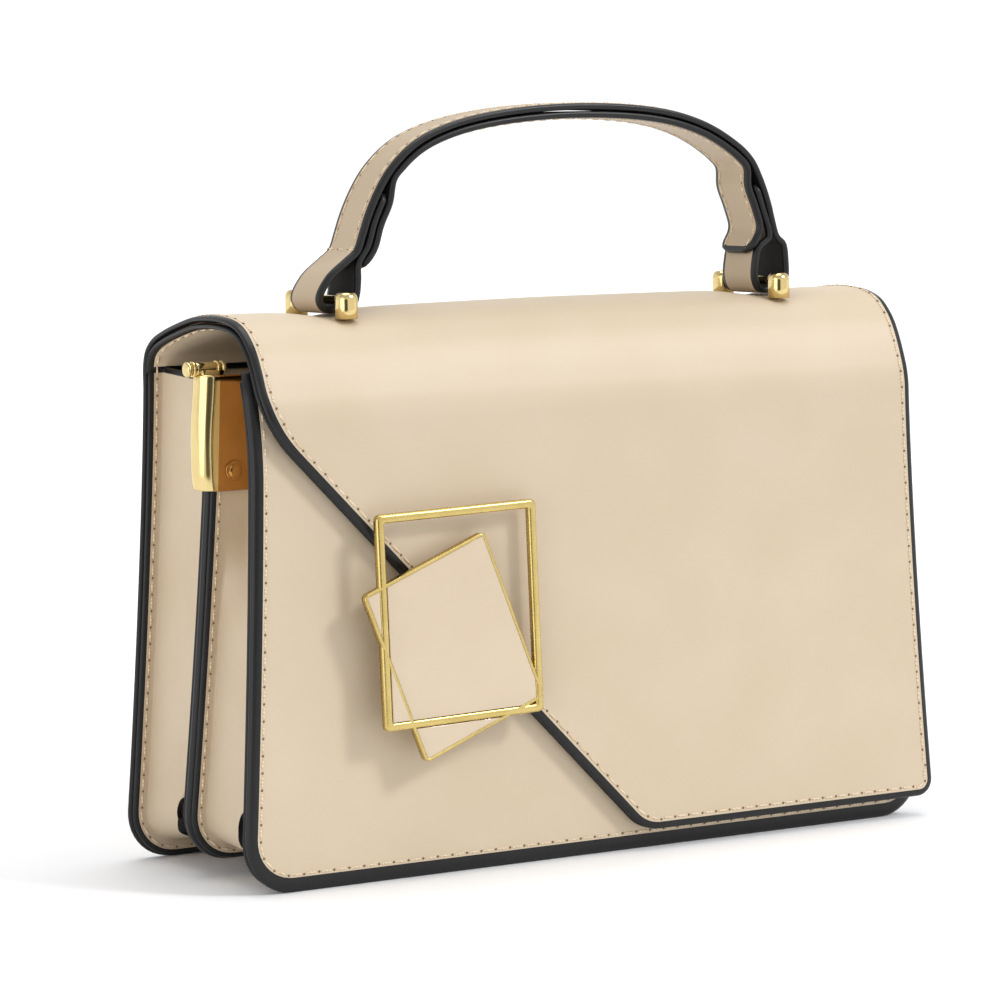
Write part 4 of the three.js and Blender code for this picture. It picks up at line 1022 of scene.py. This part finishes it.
polished_gold = gold_plating("Gold plating, polished", "#E3CF98", "#D6BC7C", 0.12, 5, 0.25)
# The clip legs and rivet heads take a darker orange gold. It is painted shade plus a painted reflection of
# the tan leather in the front compartment, not a different plating.
shaded_leg_gold = gold_plating("Gold plating, painted shade and reflection, legs", "#BE8A4E", "#A97638", 0.17, 5, 0.25)
brushed_gold = gold_plating("Gold plating, brushed", "#D8C27F", "#BDA461", 0.27, 0.5, 0.3)
enamel = poured_enamel()
print("metals:", polished_gold.name, "|", brushed_gold.name, "|", enamel.name)

# %% [markdown]
# ## Clasp
# The open frame and the turned plate are soldered flush. The frame's bars have rounded edges, so they
# are swept from a small section round a rounded rectangle. The plate's rim is swept the same way, with
# a thin wall, and a back plate closes it.

# %% Helpers for framed shapes
def rounded_rectangle(width, height, radius, corner_steps=7):
    """Points round a rectangle with round corners, counter-clockwise, as many for any size."""
    w, h = width / 2 - radius, height / 2 - radius
    points = []
    for x, y, start in ((w, -h, -90), (w, h, 0), (-w, h, 90), (-w, -h, 180)):
        for angle in np.radians(np.linspace(start, start + 90, corner_steps)):
            points.append((x + radius * math.cos(angle), y + radius * math.sin(angle)))
    return np.array(points)


def clasp_place(flat, y, x, z, turn):
    """Puts flat points in the clasp's plane: turned, at a place on the front and at a depth."""
    c, s = math.cos(math.radians(turn)), math.sin(math.radians(turn))
    px = x + flat[:, 0] * c - flat[:, 1] * s
    pz = z + flat[:, 0] * s + flat[:, 1] * c
    return np.stack([px, np.broadcast_to(y, px.shape), pz], -1)


def ring_faces(rings, count, closed=True):
    """Quads between neighbouring rings of count points; the last ring joins the first if closed."""
    faces = []
    for r in range(rings if closed else rings - 1):
        for i in range(count):
            a, b = r * count + i, r * count + (i + 1) % count
            c, d = ((r + 1) % rings) * count + (i + 1) % count, ((r + 1) % rings) * count + i
            faces.append((a, b, c, d))
    return faces


def end_fans(count, rings):
    """Fans that close the first and the last ring. Their two tips are the points after the rings."""
    total, last = count * rings, count * (rings - 1)
    first = [((i + 1) % count, i, total) for i in range(count)]
    return first + [(last + i, last + (i + 1) % count, total + 1) for i in range(count)]


def framed(name, outer, inner, section, place, material):
    """A frame between two outlines. The section's rows hold a share inwards and a depth in mm."""
    rings = [place((1 - row["in"]) * outer + row["in"] * inner, row["y"]) for row in section]
    return new_piece(name, np.vstack(rings), ring_faces(len(rings), len(outer)), [material])

# %% Build the clasp
CLASP_X, CLASP_Z, FRAME_W, FRAME_H, FRAME_TURN = -48.4, 70.4, 48.9, 57.3, 1.5
FRAME_BAR, FRAME_DEPTH, FRAME_CORNER = 2.4, 2.2, 1.6
PLATE_DX, PLATE_DZ, PLATE_W, PLATE_H, PLATE_TURN, PLATE_BORDER = -2.1, -8.4, 39.8, 49.0, 21.5, 0.9
RECESS = 0.9
CLASP_BACK = FLAP_FRONT - 3.0
CLASP_FRONT = CLASP_BACK - FRAME_DEPTH
bar_section = [
    {"in": 0.0, "y": CLASP_BACK - 0.3}, {"in": 0.0, "y": CLASP_FRONT + 0.75},
    {"in": 0.07, "y": CLASP_FRONT + 0.32}, {"in": 0.2, "y": CLASP_FRONT + 0.08},
    {"in": 0.36, "y": CLASP_FRONT}, {"in": 0.64, "y": CLASP_FRONT},
    {"in": 0.8, "y": CLASP_FRONT + 0.08}, {"in": 0.93, "y": CLASP_FRONT + 0.32},
    {"in": 1.0, "y": CLASP_FRONT + 0.75}, {"in": 1.0, "y": CLASP_BACK - 0.3},
    {"in": 0.85, "y": CLASP_BACK}, {"in": 0.15, "y": CLASP_BACK},
]
upright = framed(
    "clasp_upright_frame", rounded_rectangle(FRAME_W, FRAME_H, FRAME_CORNER),
    rounded_rectangle(FRAME_W - 2 * FRAME_BAR, FRAME_H - 2 * FRAME_BAR, 0.5), bar_section,
    lambda flat, y: clasp_place(flat, y, CLASP_X, CLASP_Z, FRAME_TURN), brushed_gold)
plate_x, plate_z = CLASP_X + PLATE_DX, CLASP_Z + PLATE_DZ
PROUD = 0.04
rim_section = [
    {"in": 0.0, "y": CLASP_BACK - 0.2}, {"in": 0.0, "y": CLASP_FRONT + 0.3},
    {"in": 0.18, "y": CLASP_FRONT + 0.04}, {"in": 0.4, "y": CLASP_FRONT - PROUD},
    {"in": 0.7, "y": CLASP_FRONT - PROUD}, {"in": 0.95, "y": CLASP_FRONT + 0.06},
    {"in": 1.0, "y": CLASP_FRONT + 0.3}, {"in": 1.0, "y": CLASP_BACK - 0.2},
    {"in": 0.8, "y": CLASP_BACK}, {"in": 0.2, "y": CLASP_BACK},
]


def on_plate(flat, y):
    return clasp_place(flat, y, plate_x, plate_z, PLATE_TURN)


plate_rim = framed("clasp_plate_rim", rounded_rectangle(PLATE_W, PLATE_H, FRAME_CORNER),
                   rounded_rectangle(PLATE_W - 2 * PLATE_BORDER, PLATE_H - 2 * PLATE_BORDER, 0.7),
                   rim_section, on_plate, brushed_gold)
print("clasp front at y =", round(CLASP_FRONT, 2))

# %% [markdown]
# The enamel fields are what is left of the plate between the frame's bars, and one corner inside the
# frame. Each is the plate's outline cut by straight lines, and its face is slightly domed, as poured
# enamel is, because it creeps up at its walls.

# %% Enamel fields and the metal behind them
def corners_of(width, height, x, z, turn):
    flat = np.array([(-1, -1), (1, -1), (1, 1), (-1, 1)], float) * (width / 2, height / 2)
    placed = clasp_place(flat, 0, x, z, turn)
    return placed[:, [0, 2]]


def clipped(outline, start, end):
    """The part of a convex outline that lies left of a line."""
    along = end - start
    side = along[0] * (outline[:, 1] - start[1]) - along[1] * (outline[:, 0] - start[0])
    kept = []
    for i, p in enumerate(outline):
        k = (i + 1) % len(outline)
        if side[i] >= 0:
            kept.append(p)
        if side[i] * side[k] < 0:
            kept.append(p + (outline[k] - p) * side[i] / (side[i] - side[k]))
    return np.array(kept)


def slab(name, outline, front, back, material, dome=0.0, soft=0.5):
    """A flat field with a softly rounded front edge, from a convex outline."""
    centre = outline.mean(0)
    dense = []
    for a, b in zip(outline, np.roll(outline, -1, axis=0)):
        dense += [a + (b - a) * t for t in np.linspace(0, 1, 8, endpoint=False)]
    dense = np.array(dense)
    reach = np.linalg.norm(dense - centre, axis=1, keepdims=True)
    levels = [(0.0, back), (0.0, front + 0.25 * soft), (0.12 * soft, front + 0.08 * soft),
              (0.4 * soft, front)]
    rings = [centre + (dense - centre) * (1 - inward / reach) for inward, _ in levels]
    heights = [y for _, y in levels]
    for share in (0.75, 0.5, 0.25):
        rings.append(centre + (rings[3] - centre) * share)
        heights.append(front - dome * (1 - share ** 2))
    points = [np.insert(ring, 1, y, axis=1) for ring, y in zip(rings, heights)]
    points.append(np.array([[centre[0], back, centre[1]], [centre[0], front - dome, centre[1]]]))
    faces = ring_faces(len(rings), len(dense), closed=False) + end_fans(len(dense), len(rings))
    return new_piece(name, np.vstack(points), faces, [material])


margin = 2 * PLATE_BORDER
field_base = corners_of(PLATE_W - margin, PLATE_H - margin, plate_x, plate_z, PLATE_TURN)
border_line = corners_of(PLATE_W - PLATE_BORDER, PLATE_H, plate_x, plate_z, PLATE_TURN)
frame_outer = corners_of(FRAME_W, FRAME_H, CLASP_X, CLASP_Z, FRAME_TURN)
frame_inner = corners_of(FRAME_W - 2 * FRAME_BAR, FRAME_H - 2 * FRAME_BAR, CLASP_X, CLASP_Z, FRAME_TURN)


def within_frame(outline):
    for i in range(4):
        outline = clipped(outline, frame_inner[i], frame_inner[(i + 1) % 4])
    return outline


fields = {
    "enamel_field_main": within_frame(field_base),
    "enamel_field_corner": within_frame(clipped(frame_inner, border_line[0], border_line[3])),
    "enamel_field_left": clipped(field_base, frame_outer[0], frame_outer[3]),
    "enamel_field_bottom": clipped(field_base, frame_outer[1], frame_outer[0]),
}
for name, outline in fields.items():
    field = slab(name + "_glaze", outline, CLASP_FRONT + 0.12, CLASP_FRONT + RECESS - 0.05, enamel, dome=0.04)
    finish_piece(field, "enamel", name)
backing_front, backing_back = CLASP_FRONT + RECESS, CLASP_BACK - 0.05
backing = slab("clasp_plate_backing", corners_of(PLATE_W - 1, PLATE_H - 1, plate_x, plate_z, PLATE_TURN),
               backing_front, backing_back, brushed_gold, soft=0.1)
frame_middle = corners_of(FRAME_W - FRAME_BAR, FRAME_H - FRAME_BAR, CLASP_X, CLASP_Z, FRAME_TURN)
corner_backing = slab("clasp_corner_backing", clipped(frame_middle, border_line[0], border_line[3]),
                      backing_front, backing_back, brushed_gold, soft=0.1)
finish_piece(upright, "gold", "clasp_frames")
for part in (plate_rim, backing, corner_backing):
    finish_piece(part, "gold")
print("fields:", list(fields))

# %% [markdown]
# ## Turned and cast fittings
# The handle's bars hang between two lugs at each end: short posts with round shoulders. On each side
# a strip of metal is bent round the divider's edge, with a strap bar on top. Round pieces come from
# a profile that is turned about an axis, and the lugs are stacked outlines that shrink at the top.

# %% Helpers for turned and stacked pieces
def turned(name, profile_rows, origin, axis, material, steps=28):
    """A round piece: rows of radius and height along an axis, closed at both ends."""
    axis = unit(np.array(axis, float))
    side = unit(np.cross(axis, (0.0, 0.0, 1.0) if abs(axis[2]) < 0.9 else (1.0, 0.0, 0.0)))
    other = np.cross(axis, side)
    angles = np.linspace(0, 2 * math.pi, steps, endpoint=False)
    circle = np.cos(angles)[:, None] * side + np.sin(angles)[:, None] * other
    rings = [np.array(origin) + axis * height + circle * radius for radius, height in profile_rows]
    ends = np.array([np.array(origin) + axis * row[1] for row in (profile_rows[0], profile_rows[-1])])
    faces = ring_faces(len(rings), steps, closed=False) + end_fans(steps, len(rings))
    return new_piece(name, np.vstack(rings + [ends]), faces, [material])


def rounded_rod(radius, start, end, soft):
    """A turned profile with rounded ends, as rows of radius and height."""
    turn = np.linspace(0, math.pi / 2, 5)
    first = [(radius - soft + soft * math.sin(a), start + soft - soft * math.cos(a)) for a in turn]
    last = [(radius - soft + soft * math.cos(a), end - soft + soft * math.sin(a)) for a in turn]
    return first + last


def joined(name, parts):
    """Several meshes as one piece."""
    bpy.ops.object.select_all(action="DESELECT")
    for part in parts:
        part.select_set(True)
    bpy.context.view_layer.objects.active = parts[0]
    bpy.ops.object.join()
    parts[0].name = name
    return parts[0]

# %% Build the handle's mounts
LUG, LUG_REACH, LUG_TOP, LUG_ROUND, BAR_RADIUS = 5.8, 13.75, 155.8, 2.5, 1.2
DOME_START, DOME_SHARE = 0.72, 0.55
lug_levels = [{"up": up, "size": 1.0} for up in (0.0, 0.4, 0.7)]
for angle in np.radians(np.linspace(0, 86, 12)):
    lug_levels.append({"up": DOME_START + (1 - DOME_START) * math.sin(angle),
                       "size": 1 - DOME_SHARE * (1 - math.cos(angle))})


def lug_foot(x, y):
    """The height of the flap's outer face under a lug, at its highest corner."""
    table = np.array([(FLAP_FRONT + r["depth"] * crown_depth, r["height"] * BAG_HEIGHT, r["depth"])
                      for r in crown_rows])[::-1]
    ys = np.array([y - LUG / 2, y, y + LUG / 2])
    height = np.interp(ys, table[:, 0], table[:, 1])
    depth = np.interp(ys, table[:, 0], table[:, 2])
    return float(np.max([height - top_sag(np.array(x + dx), depth) for dx in (-LUG / 2, 0, LUG / 2)]))


for word, side in (("left", -1), ("right", 1)):
    x = side * HANDLE_SPAN
    parts = []
    for y in (-LUG_REACH, LUG_REACH):
        foot = lug_foot(x, y) + 0.05
        outline = rounded_rectangle(LUG, LUG, LUG_ROUND, 10)
        rings = [np.insert(outline * level["size"] + (x, y), 2, foot + (LUG_TOP - foot) * level["up"], axis=1)
                 for level in lug_levels]
        count, levels = len(outline), len(rings)
        tips = np.array([[x, y, foot], [x, y, LUG_TOP + 0.03]])
        faces = ring_faces(levels, count, closed=False) + end_fans(count, levels)
        parts.append(new_piece("lug", np.vstack(rings + [tips]), faces, [polished_gold]))
    bar_end = LUG_REACH - LUG / 4
    parts.append(turned("bar", rounded_rod(BAR_RADIUS, -bar_end, bar_end, 0.1), (x, 0, BAR_HEIGHT), (0, 1, 0),
                        polished_gold))
    finish_piece(joined(f"handle_mount_{word}_gold", parts), "gold", f"handle_mount_{word}")

# %% Build the side clips
CLIP_METAL, CLIP_ROOM, CLIP_LEG, CLIP_LIP = 0.9, 3.5, 11.3, 2.0
CLIP_FLARE, CLIP_WAIST, CLIP_RAISE = 0.55, 0.5, 0.6
CAP_INNER, CAP_OUTER, SADDLE = 2.4, 5.6, 2.6
EAR, EAR_RADIUS, EAR_RISE = 1.0, 2.1, 2.2
SIDE_BAR, SLEEVE, KNOB, KNOB_LENGTH = 1.3, 1.8, 2.1, 1.5
RIVET, RIVET_HEIGHT, RIVET_DROP, RIVET_IN = 2.8, 1.0, 24.5, 5.6
clip_tilt = math.atan(DIVIDER_LEAN)
clip_edge = panel_half(CLIP_TOP) - CLEARANCE - 0.1
clip_y = DIVIDER_SEAT - DIVIDER_LEAN * CLIP_TOP


def beside_divider(points, side):
    """Leans points with the divider and puts them at its left or right edge."""
    x, y, z = np.asarray(points, float).T
    turned_y = y * math.cos(clip_tilt) - z * math.sin(clip_tilt)
    turned_z = y * math.sin(clip_tilt) + z * math.cos(clip_tilt)
    return np.stack([side * (clip_edge - x), clip_y + turned_y, CLIP_TOP + turned_z], -1)


def clip_strip(side):
    """The bent strip: a U round the divider's edge, with a lip that flares at its foot."""
    radius = CLIP_ROOM + CLIP_METAL / 2
    bend = [(-radius * math.cos(a), radius * math.sin(a)) for a in np.linspace(-math.pi / 2, math.pi / 2, 25)]
    leg = [(x, -radius) for x in np.linspace(CLIP_LEG - 0.4, 0.6, 12)]
    lip = [(x, radius) for x in np.linspace(0.4, CLIP_LIP - 0.4, 4)]
    line = resampled(np.array(leg + bend + lip), 60)
    along = directions(line)
    outward = np.stack([along[:, 1], -along[:, 0]], -1)
    heights = np.concatenate([np.linspace(CLIP_RAISE, -CLIP_HEIGHT + 5, 16),
                              np.linspace(-CLIP_HEIGHT + 4.4, -CLIP_HEIGHT + 0.4, 9)])
    rows = []
    for z in heights:
        swell = CLIP_FLARE * max(0, 1 - (z + CLIP_HEIGHT) / 5) ** 2
        swell -= CLIP_WAIST * math.sin(math.pi * min(1, max(0, -z / CLIP_HEIGHT))) ** 2
        round_part = np.clip((0.6 - line[:, 0]) / 3, 0, 1)
        moved = line + outward * (swell * round_part)[:, None]
        rows.append(np.column_stack([moved, np.full(len(line), z)]))
    grid = np.array(rows)
    flat = beside_divider(grid.reshape(-1, 3), side).reshape(grid.shape)
    flat = flat[:, ::-1] if side < 0 else flat
    # Slot 3 is the darker gold of painted shade and reflection. The front leg's faces take it below.
    strip = sheet_piece("strip", flat, CLIP_METAL, 0.4, [polished_gold] * 3 + [shaded_leg_gold], rim_steps=5)
    leg_from = (clip_edge - CLIP_METAL) * METRE
    for face in strip.data.polygons:
        if abs(face.center.x) < leg_from:
            face.material_index = 3
    return strip


def clip_turned(name, rows, x, y, z, axis, side):
    """A turned piece at a place on the clip; the axis is drawn for the left side."""
    start = beside_divider([(x, y, z)], side)[0]
    ahead = beside_divider([(x + axis[0], y + axis[1], z + axis[2])], side)[0]
    return turned(name, rows, start, ahead - start, polished_gold)


def across_clip(name, radius, start, end, soft, side, rise=EAR_RISE):
    """A rod with rounded ends across the clip's top."""
    return clip_turned(name, rounded_rod(radius, start, end, soft), 0, 0, rise, (1, 0, 0), side)


for word, side in (("left", -1), ("right", 1)):
    strip = clip_strip(side)
    ears = [across_clip("ear", EAR_RADIUS, end, end + EAR, 0.3, side)
            for end in (-CAP_OUTER, CAP_INNER - EAR)]
    saddle = across_clip("saddle", SADDLE, -CLIP_ROOM, CAP_INNER - 0.35, 0.6, side, 0.2)
    sleeve = across_clip("sleeve", SLEEVE, EAR - CAP_OUTER, CAP_INNER - EAR, 0.5, side)
    clip = joined(f"side_clip_{word}_gold", [strip, saddle, sleeve, *ears])
    finish_piece(clip, "gold", f"side_clip_{word}")
    pin = across_clip("pin", SIDE_BAR, -CAP_OUTER - CLEARANCE, CAP_INNER + CLEARANCE, 0.05, side)
    knobs = [across_clip("knob", KNOB, start, start + KNOB_LENGTH, 0.75, side)
             for start in (-CAP_OUTER - CLEARANCE - KNOB_LENGTH, CAP_INNER + CLEARANCE)]
    finish_piece(joined(f"side_bar_{word}_gold", [pin, *knobs]), "gold", f"side_bar_{word}")
    dome = [(RIVET, 0.0), (RIVET, 0.22), (RIVET - 0.12, 0.36), (RIVET - 0.4, 0.44), (RIVET - 0.62, 0.34),
            (RIVET - 0.85, 0.42), (0.62 * RIVET, 0.72), (0.4 * RIVET, 0.9), (0.15 * RIVET, RIVET_HEIGHT)]
    head = clip_turned("head", dome, RIVET_IN, -CLIP_ROOM - CLIP_METAL - 0.05, -RIVET_DROP, (0, -1, 0), side)
    # The rivet head takes the leg's darker gold of painted shade and reflection.
    head.data.materials[0] = shaded_leg_gold
    head.name = f"side_rivet_{word}_gold"
    finish_piece(head, "gold", f"side_rivet_{word}")

# %% [markdown]
# ## Hidden posts
# Behind the clasp are a rivet and a magnet, which no view shows well. Their nodes are plain round
# posts, so they stay as they are and only take the polished plating.

# %% Dress the posts
for name in ("clasp_post", "clasp_catch"):
    post = frame["nodes"][name]
    post.data.materials.clear()
    post.data.materials.append(polished_gold)

# %% [markdown]
# ## Floor, light and camera
# The bag stands on a white paper sweep that ends 0.3 m before the bag, in a bright room with an even
# brighter backdrop. The dark camera side shows as bands in the polished metal. A soft box
# at the upper right gives the soft shadows, one overhead lifts the top, and a third one on the left
# fills the side. Far lights are used, so that the floor is equally bright everywhere.

# %% Floor and world
SHEET, SHEET_NEAR = 6, 0.3


def pale_floor():
    material, tree, shader = new_material("Studio floor, painted white", Roughness=0.7)
    speck = object_noise(tree, 1 / (400 * METRE), 1.0)
    two_tones(tree, shader, speck.outputs["Fac"], "#F3F4F6", "#F1F2F4")
    onward = Vector((0.518, 0.855, 0))
    aside, away, near = Vector((onward.y, -onward.x, 0)) * SHEET, onward * SHEET, -onward * SHEET_NEAR
    mesh = bpy.data.meshes.new("floor")
    mesh.from_pydata([near - aside, near + aside, away + aside, away - aside], [], [(0, 1, 2, 3)])
    mesh.materials.append(material)
    made = bpy.data.objects.new("floor", mesh)
    bpy.context.scene.collection.objects.link(made)
    return made


floor = pale_floor()
world = bpy.data.worlds.new("Studio")
bpy.context.scene.world = world
world.use_nodes = True
sky = world.node_tree
background = sky.nodes["Background"]
WALLS, CEILING, BACKDROP, VIEWER = 1.06, 0.66, 1.06, 0.1
VIEW_WAY, VIEWER_WAY = (0.516, 0.852, 0.0), (-0.4, -0.91, -0.1)


def sky_ramp(value, low, high, start, end):
    """Light that goes smoothly from one strength to another between two values."""
    return add_node(sky, "ShaderNodeMapRange", {"interpolation_type": "SMOOTHSTEP"},
                    {"From Min": low, "From Max": high, "To Min": start, "To Max": end},
                    {"Value": value}).outputs["Result"]


def sky_product(one, two, operation="MULTIPLY"):
    return add_node(sky, "ShaderNodeMath", {"operation": operation}, links={0: one, 1: two}).outputs["Value"]


def sky_toward(way):
    return add_node(sky, "ShaderNodeVectorMath", {"operation": "DOT_PRODUCT"}, {1: way},
                    {0: direction}).outputs["Value"]


direction = add_node(sky, "ShaderNodeTexCoord").outputs["Generated"]
ceiling = sky_ramp(sky_toward((0, 0, 1)), 0.2, 0.65, WALLS, CEILING)
viewer_side = sky_ramp(sky_toward(VIEWER_WAY), 0.9, 0.97, 1.0, VIEWER)
backdrop = sky_ramp(sky_toward(VIEW_WAY), 0.6, 0.93, 0.0, BACKDROP)
strength = sky_product(sky_product(ceiling, viewer_side), backdrop, "MAXIMUM")
sky.links.new(strength, background.inputs["Strength"])
background.inputs["Color"].default_value = (1, 1, 1, 1)
print("floor and world are ready")

# %% Lights
def soft_sun(name, toward_sun, spread, strength, colour="#FFFFFF"):
    """A distant soft box: the light comes from a direction and is spread over some degrees."""
    light = bpy.data.lights.new(name, "SUN")
    light.energy, light.angle, light.color = strength, math.radians(spread), linear(colour)[:3]
    made = bpy.data.objects.new(name, light)
    made.rotation_mode = "QUATERNION"
    made.rotation_quaternion = Vector(toward_sun).to_track_quat("Z", "Y")
    bpy.context.scene.collection.objects.link(made)
    return made


soft_sun("key", (0.50, -0.60, 0.62), 12, 1.35)
soft_sun("top", (0.1, 0.1, 1.0), 45, 1.3)
soft_sun("left_fill", (-1.0, -0.35, 0.06), 50, 0.7)
print("three soft boxes are set")

# %% Camera
TURN, RISE, ROLL, DISTANCE = 31.2, 5.35, -1.12, 1.153
FOCAL_PIXELS, IMAGE_PIXELS, SENSOR = 4201.0, 1000, 36.0
AIM = Vector((-0.01495, 0, 0.09625))
th, ph, ro = (math.radians(a) for a in (TURN, RISE, ROLL))
back = Vector((-math.sin(th) * math.cos(ph), -math.cos(th) * math.cos(ph), math.sin(ph)))
place = AIM + back * DISTANCE + drawing_shift
right = (-back).cross(Vector((0, 0, 1))).normalized()
up = right.cross(-back)
rolled_right = right * math.cos(ro) + up * math.sin(ro)
rolled_up = up * math.cos(ro) - right * math.sin(ro)
lens = bpy.data.cameras.new("camera")
lens.sensor_width, lens.lens = SENSOR, FOCAL_PIXELS / IMAGE_PIXELS * SENSOR
lens.clip_start, lens.clip_end = 0.01, 50
camera = bpy.data.objects.new("camera", lens)
bpy.context.scene.collection.objects.link(camera)
turn = Matrix((rolled_right, rolled_up, back)).transposed()
camera.matrix_world = Matrix.Translation(place) @ turn.to_4x4()
bpy.context.scene.camera = camera
bpy.context.scene.view_settings.view_transform = "Standard"
print("lens in mm:", round(lens.lens, 1))
